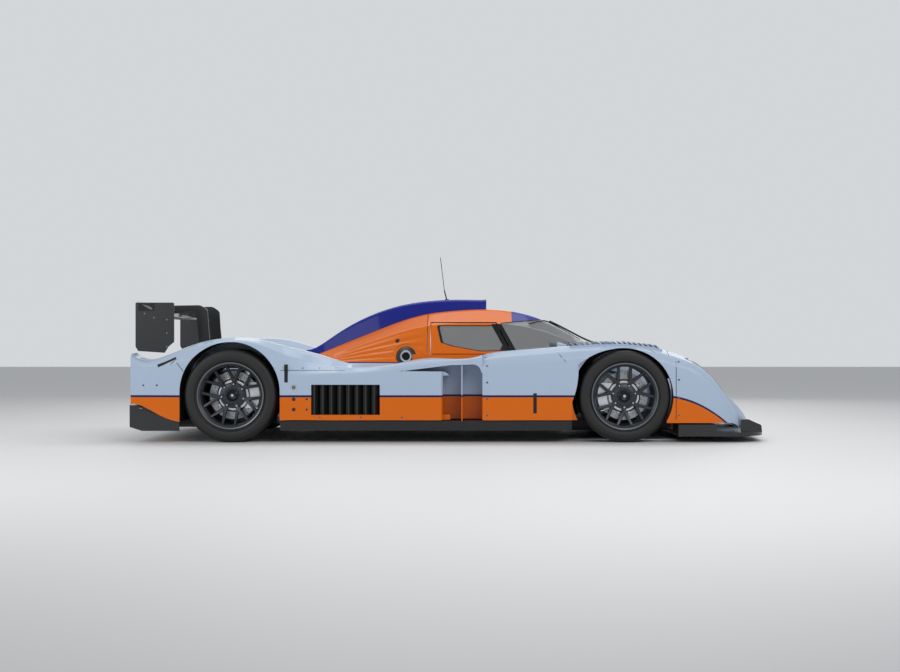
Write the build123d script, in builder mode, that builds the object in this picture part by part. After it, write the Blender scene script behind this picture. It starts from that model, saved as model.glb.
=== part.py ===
"""A closed-cockpit endurance racing prototype, at its real size in millimetres.

+X points to the nose, +Y to the car's left and +Z up. The origin lies on the ground at the middle of the length.
The right-hand half is drawn, and most pieces are mirrored in the plane Y = 0.
"""

import os
from math import cos, radians, sin

from build123d import *

# Overall sizes
front_end_x = 2344
rear_end_x = -2344
side_y = 995
front_axle_x = 1278
rear_axle_x = -1607

# Wheels: radii, widths and the place of each tyre across the car
front_tyre_radius = 338
rear_tyre_radius = 342
front_tyre_width = 330
rear_tyre_width = 365
tyre_outer_y = 975
rim_radius = 228
rim_flange_radius = 245
rim_wall = 7
tyre_seat_gap = 0.3
spoke_count = 7
web_thickness = 22
front_dish = 62
rear_dish = 105
hub_face_radius = 66
wheel_nut_radius = 44
disc_radius = 178
disc_thickness = 32
hub_shaft_radius = 35
shaft_clearance = 0.5

# Steering
kingpin_y = 780
kingpin_length = 300
running_gap = 6

# Floor and its edges
plank_bottom_z = 50
plank_top_z = 90
plank_half_width = 300
floor_top_z = 160
floor_edge_inset = 12
body_bottom_z = 165
splitter_bottom_z = 45
splitter_top_z = 75
splitter_box_top_z = 132
splitter_rear_x = 1668

# Cabin
cabin_base_z = 640
cabin_rear_x = -186
cabin_front_x = 1150
canopy_base_z = 560
canopy_wall = 18
tub_wall = 25
glass_outer_inset = 3
glass_inner_inset = 10
shut_gap = 5
tub_half_width = 482
tub_rear_x = -300

# Wheel housings
front_well_radius = 388
front_well_top_z = 692
front_arch_radius = 350
front_skin = 30
rear_arch_radius = 366
rear_arch_z = 370
rear_body_split_z = 528
sidepod_end_x = rear_axle_x + rear_arch_radius
recess_front_x = 236
recess_rear_x = 0
recess_depth = 190
recess_top_z = 572
pod_top_z = 520
nose_radius = 62

pieces = {}


def outline_at(x, corners, corner_radii):
    """A closed outline of straight sides and round corners, in the upright plane across the car at x."""
    with BuildSketch(Plane.YZ.offset(x)) as outline:
        with BuildLine():
            FilletPolyline(*corners, radius=corner_radii, close=True)
        make_face()
    return outline.sketch


def side_face(y, corners, corner_radii=0):
    """A closed outline in the fore-and-aft plane at y, with corners as (x, z)."""
    with BuildSketch(Plane.XZ.offset(-y)) as outline:
        with BuildLine():
            FilletPolyline(*corners, radius=corner_radii, close=True)
        make_face()
    return outline.sketch


def flat_face(corners, corner_radii):
    """A closed outline in the XY plane, for a sketch that repeats it."""
    with BuildSketch() as outline:
        with BuildLine():
            FilletPolyline(*corners, radius=corner_radii, close=True)
        make_face()
    return outline.sketch


def rod(start, end, radius):
    """A round bar between two points."""
    start, end = Vector(*start), Vector(*end)
    with BuildPart() as bar:
        with BuildSketch(Plane(origin=start, z_dir=end - start)):
            Circle(radius)
        extrude(amount=(end - start).length)
    return bar.part


def box_between(low, high):
    """A plain block from its lowest corner to its highest."""
    size = [b - a for a, b in zip(low, high)]
    middle = tuple((a + b) / 2 for a, b in zip(low, high))
    with BuildPart() as block:
        with Locations(middle):
            Box(*size)
    return block.part


# Front fenders: one loft each, with the wheel housing and the louvre opening cut out
# x, inner y, outer y, bottom z, crown z
front_fender_rows = [
    (recess_front_x, 640, 995, 165, 646),
    (500, 640, 995, 165, 682),
    (800, 635, 995, 165, 706),
    (1050, 615, 995, 165, 724),
    (1278, 600, 995, 160, 728),
    (1500, 595, 995, 148, 704),
    (1680, 600, 990, 145, 650),
    (1860, 610, 980, 145, 560),
    (1980, 620, 962, 145, 434),
    (2070, 640, 925, 140, 292),
    (2126, 665, 865, 100, 168),
]
louvre_front_x = 1560
louvre_rear_x = 880
louvre_inner_y = 660
louvre_outer_y = 880
lamp_inner_y = 705
lamp_outer_y = 850
lamp_low_z = 235
lamp_high_z = 600
lamp_cover_thickness = 10
lamp_radius = 48
lamp_depth = 70
lamp_count = 3
lamp_pitch_z = 112
lamp_first = (1970, -(lamp_inner_y + lamp_outer_y) / 2, 300)
lamp_step_x = -85
lamp_back_x = 1758


def fender_section(x, inner, outer, bottom, crown):
    middle = (inner + outer) / 2 - 10
    drop = min(1.0, (crown - bottom) / 250)
    corners = [
        (-outer, bottom),
        (-inner, bottom),
        (-inner - 8 * drop, crown - 42 * drop),
        (-middle, crown),
        (-outer + 34 * drop, crown - 40 * drop),
        (-outer, crown - 95 * drop),
    ]
    return outline_at(x, corners, [0, 0, 30 * drop, 160 * drop, 60 * drop, 60 * drop])


def front_arch(y):
    """The wheel opening seen from the side: a round front, and a scallop that lets air out behind the tyre."""
    r = front_arch_radius
    foot = (0.86 * r, -0.51 * r)
    axle_plane = Plane(origin=(front_axle_x, y, front_tyre_radius), x_dir=(1, 0, 0), z_dir=(0, -1, 0))
    with BuildSketch(axle_plane) as opening:
        with BuildLine():
            ThreePointArc(foot, (r * 0.985, 0.17 * r), (0, r + 3))
            ThreePointArc((0, r + 3), (-172, 327), (-343, 231))
            ThreePointArc((-343, 231), (-350, 95), (-388, -40))
            Polyline((-388, -40), (-388, -400), (foot[0], -400), foot)
        make_face()
    return opening.sketch


with BuildPart() as fender_form:
    loft(sections=[fender_section(*row) for row in front_fender_rows])

with BuildPart() as lamp_space:
    add(fender_form.part)
    add(
        box_between(
            (front_axle_x + 400, -lamp_outer_y, lamp_low_z),
            (front_end_x, -lamp_inner_y, lamp_high_z),
        ),
        mode=Mode.INTERSECT,
    )

with BuildPart() as lamp_cover:
    add(lamp_space.part)
    add(fender_form.part.moved(Location((-lamp_cover_thickness, 0, -lamp_cover_thickness / 2))), mode=Mode.SUBTRACT)

with BuildPart() as lamp_pocket:
    add(lamp_space.part)
    add(
        box_between(
            (lamp_back_x, -lamp_outer_y, lamp_low_z),
            (front_end_x, -lamp_inner_y, lamp_high_z),
        ),
        mode=Mode.INTERSECT,
    )

with BuildPart() as front_fenders:
    add(fender_form.part)
    extrude(front_arch(-side_y - 5), amount=-front_skin - 10, mode=Mode.SUBTRACT)
    with BuildSketch(Plane.XZ.offset(side_y - front_skin)) as well:
        with Locations((front_axle_x, front_tyre_radius)):
            Circle(front_well_radius)
        with Locations((front_axle_x, front_well_top_z - front_well_radius * 2)):
            Rectangle(front_well_radius * 3, front_well_radius * 4, mode=Mode.INTERSECT)
    extrude(amount=-side_y, mode=Mode.SUBTRACT)
    add(lamp_pocket.part, mode=Mode.SUBTRACT)
    add(lamp_cover.part, mode=Mode.SUBTRACT)
    add(
        box_between(
            (louvre_rear_x, -louvre_outer_y, front_well_top_z - 60),
            (louvre_front_x, -louvre_inner_y, front_well_top_z + 200),
        ),
        mode=Mode.SUBTRACT,
    )
    mirror(about=Plane.XZ)
pieces["front_fenders"] = front_fenders.part

with BuildPart() as headlamp_covers:
    add(lamp_cover.part)
    mirror(about=Plane.XZ)
pieces["headlamp_covers"] = headlamp_covers.part

# Three round lamps stand one above another behind each cover
with BuildPart() as headlamps:
    for i in range(lamp_count):
        front = Vector(lamp_first[0] + lamp_step_x * i, lamp_first[1], lamp_first[2] + lamp_pitch_z * i)
        with BuildSketch(Plane(origin=front, z_dir=(1, 0, 0))):
            Circle(lamp_radius)
        extrude(amount=lamp_back_x - front.X)
    mirror(about=Plane.XZ)
pieces["headlamps"] = headlamps.part

# Louvres over the front wheels: slanted blades across the opening, joined by a rail along each side
blade_count = 17
blade_thickness = 5
blade_rise = 24
blade_overlap = 4
rail_width = 8
crown_points = [(row[0], row[4]) for row in front_fender_rows]


def crown_z(x):
    """Height of the fender's crown at x, on straight runs between the sections."""
    for (x0, z0), (x1, z1) in zip(crown_points, crown_points[1:]):
        if x0 <= x <= x1:
            return z0 + (z1 - z0) * (x - x0) / (x1 - x0)
    return crown_points[-1][1]


blade_pitch = (louvre_front_x - louvre_rear_x - 2 * rail_width) / blade_count
louvre_bottom_drop = 20
with BuildPart() as fender_louvres:
    for i in range(blade_count):
        back_x = louvre_rear_x + rail_width + i * blade_pitch
        front_x = back_x + blade_pitch + blade_overlap
        low, high = crown_z(front_x) - louvre_bottom_drop, crown_z(back_x) + blade_rise - louvre_bottom_drop / 2
        blade = side_face(
            -louvre_inner_y,
            [(front_x, low), (front_x, low + blade_thickness), (back_x, high), (back_x, high - blade_thickness)],
        )
        extrude(blade, amount=louvre_outer_y - louvre_inner_y)
    rail_top = [(x, crown_z(x) - 6) for x in (louvre_rear_x, 1050, 1278, 1500, louvre_front_x)]
    rail_bottom = [(x, z - louvre_bottom_drop) for x, z in reversed(rail_top)]
    for y in (louvre_inner_y, louvre_outer_y - rail_width):
        extrude(side_face(-y, rail_top + rail_bottom), amount=rail_width)
    mirror(about=Plane.XZ)
pieces["fender_louvres"] = fender_louvres.part

# Tub: the hollow carbon hull that carries the cabin
# x, half width
tub_rows = [(tub_rear_x, 482), (500, 482), (800, 450), (cabin_front_x, 345)]
foot_roof_x = 690


def tub_form(inset, low, high):
    sections = []
    for x, half in tub_rows:
        h = half - inset
        sections.append(outline_at(x, [(-h, low), (h, low), (h, high), (-h, high)], 0))
    with BuildPart() as form:
        loft(sections=sections, ruled=True)
    return form.part


with BuildPart() as tub:
    add(tub_form(0, floor_top_z, cabin_base_z))
    with BuildPart(mode=Mode.PRIVATE) as cockpit:
        add(tub_form(tub_wall, floor_top_z + tub_wall, cabin_base_z - tub_wall))
        add(
            box_between((tub_rear_x + tub_wall, -600, 0), (cabin_front_x - tub_wall, 600, 900)), mode=Mode.INTERSECT
        )
    add(cockpit.part, mode=Mode.SUBTRACT)
    with BuildPart(mode=Mode.PRIVATE) as hatch:
        add(tub_form(tub_wall + 10, floor_top_z + 2 * tub_wall, cabin_base_z + 5))
        add(
            box_between((cabin_rear_x + tub_wall, -600, 0), (foot_roof_x, 600, 900)), mode=Mode.INTERSECT
        )
    add(hatch.part, mode=Mode.SUBTRACT)
pieces["tub"] = tub.part

# Side body, from the recess behind the front fender to the tail, then split into sidepod and rear fender
# x, inner y, crown y, flank y, bottom z, inner z, crown z, flank z, shoulder z, shoulder y
side_body_rows = [
    (recess_front_x, 482, 860, 965, 165, 604, 646, 640, 606, 995),
    (-60, 482, 860, 965, 165, 590, 616, 608, 574, 995),
    (-349, 482, 860, 965, 165, 566, 588, 580, 544, 995),
    (-640, 482, 800, 930, 165, 540, 560, 548, 512, 995),
    (-946, 500, 770, 880, 165, 560, 646, 570, 500, 995),
    (-1206, 540, 780, 910, 165, 600, 716, 640, 520, 995),
    (-1450, 560, 790, 950, 165, 640, 766, 735, 650, 995),
    (-1700, 560, 790, 950, 165, 640, 768, 735, 650, 995),
    (-1945, 560, 790, 950, 150, 600, 706, 680, 600, 990),
    (-2140, 560, 770, 940, 212, 560, 626, 612, 570, 982),
    (rear_end_x + 10, 560, 760, 935, 280, 600, 656, 650, 625, 970),
]


def side_body_section(x, inner, crown_y, flank_y, bottom, inner_z, crown, flank_z, shoulder_z, outer):
    corners = [
        (-outer, bottom),
        (-inner, bottom),
        (-inner, inner_z),
        (-crown_y, crown),
        (-flank_y, flank_z),
        (-outer, shoulder_z),
    ]
    return outline_at(x, corners, [0, 0, 25, 120, 40, 30])


with BuildPart() as side_form:
    loft(sections=[side_body_section(*row) for row in side_body_rows])

sidepod_zone = box_between((sidepod_end_x - 400, -1100, 0), (recess_front_x + 10, 0, 900))
with BuildPart() as upper_rear_zone:
    add(box_between((rear_end_x - 10, -1100, rear_body_split_z), (-760, 0, 900)))
    add(box_between((rear_end_x - 10, -1100, 0), (sidepod_end_x, 0, 900)))

# Side exhaust louvres sit in this window
vent_rear_x = -1013
vent_front_x = -512
vent_low_z = 204
vent_high_z = 424
vent_depth = 60
vent_blade_count = 8
vent_blade_depth = 46
vent_frame = 6
duct_wall = 32
vane_x = 82
vane_thickness = 8
intake_depth_x = 320

with BuildPart() as sidepods:
    add(side_form.part)
    add(upper_rear_zone.part, mode=Mode.SUBTRACT)
    add(tub_form(0, floor_top_z, cabin_base_z), mode=Mode.SUBTRACT)
    with BuildSketch(Plane.XZ.offset(side_y + 5)):
        with BuildLine():
            Polyline((-350, 523), (recess_rear_x - nose_radius, pod_top_z))
            RadiusArc(
                (recess_rear_x - nose_radius, pod_top_z), (recess_rear_x, pod_top_z - nose_radius), nose_radius
            )
            Polyline(
                (recess_rear_x, pod_top_z - nose_radius),
                (recess_rear_x, body_bottom_z - 5),
                (recess_front_x + 5, body_bottom_z - 5),
                (recess_front_x + 5, recess_top_z - 60),
            )
            Line((recess_front_x + 5, recess_top_z - 60), (recess_front_x - 10, recess_top_z - 60))
            RadiusArc((recess_front_x - 10, recess_top_z - 60), (recess_front_x - 70, recess_top_z), -60)
            Polyline((recess_front_x - 70, recess_top_z), (recess_rear_x, recess_top_z - 6), (-350, 523))
        make_face()
    extrude(amount=-recess_depth - 5, mode=Mode.SUBTRACT)
    with BuildSketch(Plane.XY.offset(body_bottom_z - 5)):
        with BuildLine():
            Line((recess_rear_x + 5, -side_y + nose_radius), (recess_rear_x, -side_y + nose_radius))
            RadiusArc((recess_rear_x, -side_y + nose_radius), (recess_rear_x - nose_radius, -side_y), -nose_radius)
            Polyline(
                (recess_rear_x - nose_radius, -side_y),
                (recess_rear_x - nose_radius, -side_y - 5),
                (recess_rear_x + 5, -side_y - 5),
                (recess_rear_x + 5, -side_y + nose_radius),
            )
        make_face()
    extrude(amount=pod_top_z - body_bottom_z + 10, mode=Mode.SUBTRACT)
    add(
        box_between(
            (recess_rear_x - intake_depth_x, -side_y + duct_wall, body_bottom_z + 40),
            (recess_rear_x + 5, -side_y + recess_depth, pod_top_z - 30),
        ),
        mode=Mode.SUBTRACT,
    )
    add(
        box_between((vent_rear_x, -side_y - 5, vent_low_z), (vent_front_x, -side_y + vent_depth, vent_high_z)),
        mode=Mode.SUBTRACT,
    )
    mirror(about=Plane.XZ)
pieces["sidepods"] = sidepods.part

with BuildPart() as side_vents:
    add(
        box_between(
            (vent_rear_x, -side_y + vent_depth - vent_frame, vent_low_z),
            (vent_front_x, -side_y + vent_depth, vent_high_z),
        )
    )
    vent_pitch = (vent_front_x - vent_rear_x) / vent_blade_count
    for i in range(vent_blade_count):
        blade_front_x = vent_rear_x + (i + 1) * vent_pitch
        with BuildSketch(Plane.XY.offset(vent_low_z)):
            with BuildLine():
                Polyline(
                    (blade_front_x, -side_y + vent_depth - vent_frame),
                    (blade_front_x - 8, -side_y + vent_depth - vent_frame),
                    (blade_front_x - vent_pitch * 0.72, -side_y + 6),
                    (blade_front_x - vent_pitch * 0.55, -side_y + 4),
                    close=True,
                )
            make_face()
        extrude(amount=vent_high_z - vent_low_z)
    mirror(about=Plane.XZ)
pieces["side_vents"] = side_vents.part

with BuildPart() as intake_vanes:
    add(
        box_between(
            (vane_x, -side_y + 14, floor_top_z), (vane_x + vane_thickness, -side_y + recess_depth, recess_top_z - 5)
        )
    )
    mirror(about=Plane.XZ)
pieces["intake_vanes"] = intake_vanes.part

with BuildPart() as rear_fenders:
    add(side_form.part)
    add(upper_rear_zone.part, mode=Mode.INTERSECT)
    with BuildSketch(Plane.XZ.offset(side_y + 10)) as rear_opening:
        with Locations((rear_axle_x, rear_arch_z)):
            Circle(rear_arch_radius)
            with Locations((0, -rear_arch_z)):
                Rectangle(2 * rear_arch_radius, 2 * rear_arch_z)
    extrude(amount=-side_y, mode=Mode.SUBTRACT)
    mirror(about=Plane.XZ)
pieces["rear_fenders"] = rear_fenders.part

# Canopy: one lofted form, cut into roof, doors, glass and engine cover
# x, half width at the base, half width at the shoulder, shoulder z, top z
canopy_rows = [
    (cabin_front_x, 345, 285, 665, 704),
    (931, 415, 318, 738, 801),
    (723, 455, 330, 815, 904),
    (472, 485, 345, 868, 975),
    (265, 490, 350, 880, 991),
    (-60, 488, 345, 872, 973),
    (-301, 474, 325, 838, 930),
    (-504, 440, 290, 782, 862),
    (-810, 350, 215, 680, 742),
    (-1013, 285, 165, 620, 660),
    (-1200, 240, 120, 580, 606),
]


def canopy_form(inset):
    """The canopy's outer shape, taken in on every side but the bottom by the inset."""
    sections = []
    for x, base, shoulder, shoulder_z, top in canopy_rows:
        b, s, sz, t = base - inset * 1.08, shoulder - inset * 0.9, shoulder_z - inset * 0.55, top - inset
        foot = canopy_base_z - inset
        corners = [(-b, foot), (b, foot), (s, sz), (0.5 * s, t), (-0.5 * s, t), (-s, sz)]
        corner_radii = [0, 0, 35, 90, 90, 35]
        sections.append(outline_at(x, corners, corner_radii))
    with BuildPart() as form:
        loft(sections=sections)
    return form.part


canopy_outer = canopy_form(0)
canopy_inner = canopy_form(canopy_wall)
glass_outer = canopy_form(glass_outer_inset)
glass_inner = canopy_form(glass_inner_inset)

# Side outlines as (x, z)
door_outline = [(-160, 880), (338, 880), (462, cabin_base_z + shut_gap), (-160, cabin_base_z + shut_gap)]
door_hole = [(-165, 889), (343, 889), (477, cabin_base_z - 1), (-165, cabin_base_z - 1)]
window_outline = [(-116, 864), (318, 864), (424, 668), (222, 662), (0, 702), (-86, 730)]
window_radii = [14, 14, 14, 60, 60, 20]
screen_outline = [(378, 884), (735, 915), (1300, 800), (1300, cabin_base_z + 12), (506, cabin_base_z + 12)]

cabin_zone = box_between((cabin_rear_x, -600, cabin_base_z), (cabin_front_x, 600, 1100))
right_side = -600
with BuildPart() as cabin_shell:
    add(canopy_outer)
    add(cabin_zone, mode=Mode.INTERSECT)
    add(canopy_inner, mode=Mode.SUBTRACT)

with BuildPart() as glass_shell:
    add(glass_outer)
    add(cabin_zone, mode=Mode.INTERSECT)
    add(glass_inner, mode=Mode.SUBTRACT)

# Each door turns on two pins in its windscreen pillar, along a line that leans back and inwards
hinge_foot = Vector(470, -450, 644)
hinge_head = Vector(343, -345, 880)
hinge_line = (hinge_head - hinge_foot).normalized()
hinge_places = (0.16, 0.84)
pin_radius = 5
sleeve_radius = 11
sleeve_length = 22
lug_radius = 9
lug_length = 10
hinge_gap = 0.3


def on_hinge(place, start, length, radius):
    """A round bar on the hinge line, from start along the line, measured from the middle of that hinge."""
    middle = hinge_foot + (hinge_head - hinge_foot) * place
    return rod(middle + hinge_line * start, middle + hinge_line * (start + length), radius)


half_sleeve = sleeve_length / 2
lug_starts = (-half_sleeve - hinge_gap - lug_length, half_sleeve + hinge_gap)
with BuildPart() as pillar_hinges:
    for place in hinge_places:
        add(on_hinge(place, lug_starts[0], 2 * -lug_starts[0], pin_radius))
        for start in lug_starts:
            add(on_hinge(place, start, lug_length, lug_radius))

with BuildPart() as roof:
    add(cabin_shell.part)
    extrude(side_face(right_side, door_hole), amount=2 * right_side, mode=Mode.SUBTRACT)
    extrude(side_face(right_side, screen_outline), amount=2 * right_side, mode=Mode.SUBTRACT)
    for place in hinge_places:
        room = on_hinge(place, -half_sleeve - 1, sleeve_length + 2, sleeve_radius + 1.5)
        add(room, mode=Mode.SUBTRACT)
        add(mirror(room, about=Plane.XZ), mode=Mode.SUBTRACT)
    add(pillar_hinges.part)
    add(mirror(pillar_hinges.part, about=Plane.XZ))
pieces["roof"] = roof.part

with BuildPart() as windscreen:
    add(glass_shell.part)
    extrude(side_face(right_side, screen_outline), amount=2 * right_side, mode=Mode.INTERSECT)
pieces["windscreen"] = windscreen.part

with BuildPart() as door_right:
    add(cabin_shell.part)
    extrude(side_face(right_side, door_outline), amount=right_side, mode=Mode.INTERSECT)
    extrude(side_face(right_side, window_outline, window_radii), amount=right_side, mode=Mode.SUBTRACT)
    for place in hinge_places:
        for start in lug_starts:
            add(on_hinge(place, start - 1.5, lug_length + 3, lug_radius + 1.5), mode=Mode.SUBTRACT)
        add(on_hinge(place, -half_sleeve, sleeve_length, sleeve_radius))
        add(on_hinge(place, -half_sleeve, sleeve_length, pin_radius + hinge_gap), mode=Mode.SUBTRACT)
pieces["door_right"] = door_right.part
pieces["door_left"] = mirror(door_right.part, about=Plane.XZ)

with BuildPart() as door_window_right:
    add(glass_shell.part)
    extrude(side_face(right_side, window_outline, window_radii), amount=right_side, mode=Mode.INTERSECT)
pieces["door_window_right"] = door_window_right.part
pieces["door_window_left"] = mirror(door_window_right.part, about=Plane.XZ)

# Engine cover: the tail of the canopy and the low deck between the rear fenders
cover_front_x = cabin_rear_x - shut_gap
deck_thickness = 18
pylon_y = 250
pylon_thickness = 14
deck_outline = [
    (cover_front_x, canopy_base_z),
    (-1200, canopy_base_z),
    (-2060, 505),
    (-2180, 520),
    (-2180, 520 - deck_thickness),
    (-2060, 505 - deck_thickness),
    (-1200, canopy_base_z - deck_thickness),
    (cover_front_x, canopy_base_z - deck_thickness),
]
with BuildPart() as engine_cover:
    add(canopy_outer)
    add(box_between((-1300, -600, canopy_base_z), (cover_front_x, 600, 1100)), mode=Mode.INTERSECT)
    with BuildPart(mode=Mode.PRIVATE) as deck:
        extrude(side_face(0, deck_outline), amount=560, both=True)
    add(deck.part)
    add(side_form.part, mode=Mode.SUBTRACT)
    add(mirror(side_form.part, about=Plane.XZ), mode=Mode.SUBTRACT)
    add(box_between((tub_rear_x - 5, -600, 0), (0, 600, cabin_base_z)), mode=Mode.SUBTRACT)
    for side in (-1, 1):
        with Locations((-1905, side * (pylon_y + pylon_thickness / 2), 500)):
            Box(134, pylon_thickness + 10, 200, mode=Mode.SUBTRACT)
pieces["engine_cover"] = engine_cover.part

# Roof scoop and the spine behind it
# x, half width at the foot, half width at the top, foot z, top z
scoop_rows = [
    (268, 150, 122, 940, 1071),
    (106, 152, 124, 930, 1070),
    (-98, 154, 122, 900, 1066),
    (-301, 150, 112, 860, 1045),
    (-504, 140, 96, 780, 999),
    (-708, 125, 76, 660, 919),
    (-861, 108, 56, 580, 836),
    (-1013, 84, 36, 570, 735),
    (-1165, 56, 18, 566, 672),
]
scoop_wall = 12
scoop_mouth_depth = 330


def scoop_form(inset):
    sections = []
    for x, foot_half, top_half, foot, top in scoop_rows:
        f, t = foot_half - inset, top_half - inset
        corners = [(-f, foot), (f, foot), (t, top - inset), (-t, top - inset)]
        sections.append(outline_at(x, corners, [0, 0, 0.35 * t, 0.35 * t]))
    with BuildPart() as form:
        loft(sections=sections)
    return form.part


with BuildPart() as air_scoop:
    add(scoop_form(0))
    with BuildPart(mode=Mode.PRIVATE) as mouth:
        add(scoop_form(scoop_wall))
        add(box_between((268 - scoop_mouth_depth, -300, 900), (300, 300, 1100)), mode=Mode.INTERSECT)
    add(mouth.part, mode=Mode.SUBTRACT)
    add(canopy_outer, mode=Mode.SUBTRACT)
pieces["air_scoop"] = air_scoop.part

# Nose between the front fenders
# x, half width, half width of the top, bottom z, top z
nose_rows = [
    (cabin_front_x, 345, 300, 200, 704),
    (1400, 315, 235, 210, 652),
    (1700, 290, 210, 200, 560),
    (1960, 275, 200, 150, 440),
    (2150, 255, 184, 95, 318),
    (2270, 225, 162, 76, 200),
    (2322, 190, 137, 76, 118),
]
with BuildPart() as nose:
    nose_sections = []
    for x, half, top_half, low, high in nose_rows:
        nose_corners = [
            (-half * 0.8, low),
            (half * 0.8, low),
            (half, low + (high - low) * 0.45),
            (top_half, high),
            (-top_half, high),
            (-half, low + (high - low) * 0.45),
        ]
        edge = min(40, 0.3 * (high - low))
        nose_sections.append(outline_at(x, nose_corners, [0, 0, edge, edge, edge, edge]))
    loft(sections=nose_sections)
pieces["nose"] = nose.part

# Floor with its skid plank
with BuildPart() as floor:
    edge_y = side_y - floor_edge_inset
    waist_y = 540
    with BuildSketch(Plane.XY.offset(plank_top_z)):
        with BuildLine():
            Polyline(
                (sidepod_end_x, -edge_y),
                (front_axle_x - 390, -edge_y),
                (front_axle_x - 390, -waist_y),
                (splitter_rear_x, -waist_y),
                (splitter_rear_x, waist_y),
                (front_axle_x - 390, waist_y),
                (front_axle_x - 390, edge_y),
                (sidepod_end_x, edge_y),
                close=True,
            )
        make_face()
    extrude(amount=floor_top_z - plank_top_z)
    add(
        box_between(
            (sidepod_end_x, -plank_half_width, plank_bottom_z), (splitter_rear_x, plank_half_width, plank_top_z)
        )
    )
pieces["floor"] = floor.part

# Splitter: a thin blade ahead of the wheels, boxed in under each fender, with an upright fence near each end
splitter_side_y = 968
fence_y = 900
fence_thickness = 10
with BuildPart() as splitter:
    with BuildSketch(Plane.XY.offset(splitter_bottom_z)):
        with BuildLine():
            Line((splitter_rear_x, -splitter_side_y), (2080, -splitter_side_y))
            ThreePointArc((2080, -splitter_side_y), (2240, -890), (2322, -740))
            ThreePointArc((2322, -740), (front_end_x, 0), (2322, 740))
            ThreePointArc((2322, 740), (2240, 890), (2080, splitter_side_y))
            Polyline(
                (2080, splitter_side_y), (splitter_rear_x, splitter_side_y), (splitter_rear_x, -splitter_side_y)
            )
        make_face()
    extrude(amount=splitter_top_z - splitter_bottom_z)
    for side in (-1, 1):
        low_y, high_y = sorted((side * 640, side * splitter_side_y))
        add(box_between((splitter_rear_x, low_y, splitter_top_z), (1950, high_y, splitter_box_top_z)))
    with BuildPart(mode=Mode.PRIVATE) as fence:
        fence_side = [(2134, 75), (2134, 166), (2190, 168), (2284, 126), (2290, 75)]
        extrude(side_face(-fence_y, fence_side, [0, 0, 8, 8, 0]), amount=fence_thickness)
    add(fence.part)
    add(mirror(fence.part, about=Plane.XZ))
pieces["splitter"] = splitter.part

# Diffuser: a rising ramp behind the floor, with side plates and strakes
ramp_start_z = 110
ramp_end_z = 262
ramp_thickness = 12
strake_thickness = 8
diffuser_side_y = 958
diffuser_waist_y = 585
arch_rear_x = rear_axle_x - rear_arch_radius - 8
strake_positions = [0, 290, diffuser_waist_y - strake_thickness]
with BuildPart() as diffuser:
    ramp_side = [
        (sidepod_end_x, ramp_start_z),
        (rear_end_x, ramp_end_z),
        (rear_end_x, ramp_end_z + ramp_thickness),
        (sidepod_end_x, ramp_start_z + ramp_thickness),
    ]
    extrude(side_face(0, ramp_side), amount=diffuser_waist_y, both=True)
    with BuildPart(mode=Mode.PRIVATE) as wide_end:
        extrude(side_face(0, ramp_side), amount=diffuser_side_y, both=True)
        add(box_between((rear_end_x - 5, -1000, 0), (arch_rear_x, 1000, 500)), mode=Mode.INTERSECT)
    add(wide_end.part)
    plate_side = [
        (arch_rear_x, 85),
        (arch_rear_x, 148),
        (rear_end_x, 276),
        (rear_end_x, 114),
        (rear_end_x + 90, 85),
    ]
    strake_side = [(-1500, 92), (-1500, 150), (rear_end_x, ramp_end_z + 4), (rear_end_x, 118), (rear_end_x + 90, 92)]
    for side in (-1, 1):
        plate_y = side * (diffuser_side_y - strake_thickness) if side > 0 else -diffuser_side_y
        extrude(side_face(plate_y, plate_side), amount=-strake_thickness)
        for y in strake_positions:
            if side < 0 and y == 0:
                continue
            strake_y = y - strake_thickness / 2 if y == 0 else min(side * y, side * (y + strake_thickness))
            extrude(side_face(strake_y, strake_side), amount=-strake_thickness)
    add(side_form.part, mode=Mode.SUBTRACT)
    add(mirror(side_form.part, about=Plane.XZ), mode=Mode.SUBTRACT)
pieces["diffuser"] = diffuser.part

# Engine and gearbox, closed in by the covers, as plain masses
with BuildPart() as powertrain:
    add(box_between((-930, -270, floor_top_z), (tub_rear_x, 270, 520)))
    with BuildPart(mode=Mode.PRIVATE) as gearbox:
        gearbox_sections = []
        for x, half, low, high in [(-930, 170, 200, 440), (-1500, 140, 215, 420), (-1960, 95, 290, 400)]:
            gearbox_sections.append(outline_at(x, [(-half, low), (half, low), (half, high), (-half, high)], 20))
        loft(sections=gearbox_sections, ruled=True)
    add(gearbox.part)
pieces["powertrain"] = powertrain.part

# Rear wing on two swan-neck pylons, between endplates that stand on the rear fenders
wing_half_span = 792
endplate_thickness = 10
wing_front = (-2078, 925)
wing_chord = 225
wing_angle = 14
flap_front = (-2275, 1000)
flap_chord = 62
flap_angle = 38


def aerofoil(y, nose_point, chord, angle, camber):
    """A downforce section in the fore-and-aft plane: round nose, hollow top and full belly, pointing back."""
    a = radians(angle)

    def at(along, up):
        return (nose_point[0] - along * cos(a) - up * sin(a), nose_point[1] + along * sin(a) - up * cos(a))

    with BuildSketch(Plane.XZ.offset(-y)) as face:
        with BuildLine():
            ThreePointArc(at(0, 0), at(0.45 * chord, camber * 0.35), at(chord, 0))
            Line(at(chord, 0), at(chord, 2))
            ThreePointArc(at(chord, 2), at(0.5 * chord, camber), at(0.02 * chord, 0.5 * camber))
            ThreePointArc(at(0.02 * chord, 0.5 * camber), at(-0.02 * chord, 0.2 * camber), at(0, 0))
        make_face()
    return face.sketch


with BuildPart() as rear_wing:
    extrude(aerofoil(wing_half_span, wing_front, wing_chord, wing_angle, 34), amount=2 * wing_half_span)
    extrude(aerofoil(wing_half_span, flap_front, flap_chord, flap_angle, 12), amount=2 * wing_half_span)
pieces["rear_wing"] = rear_wing.part

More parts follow.
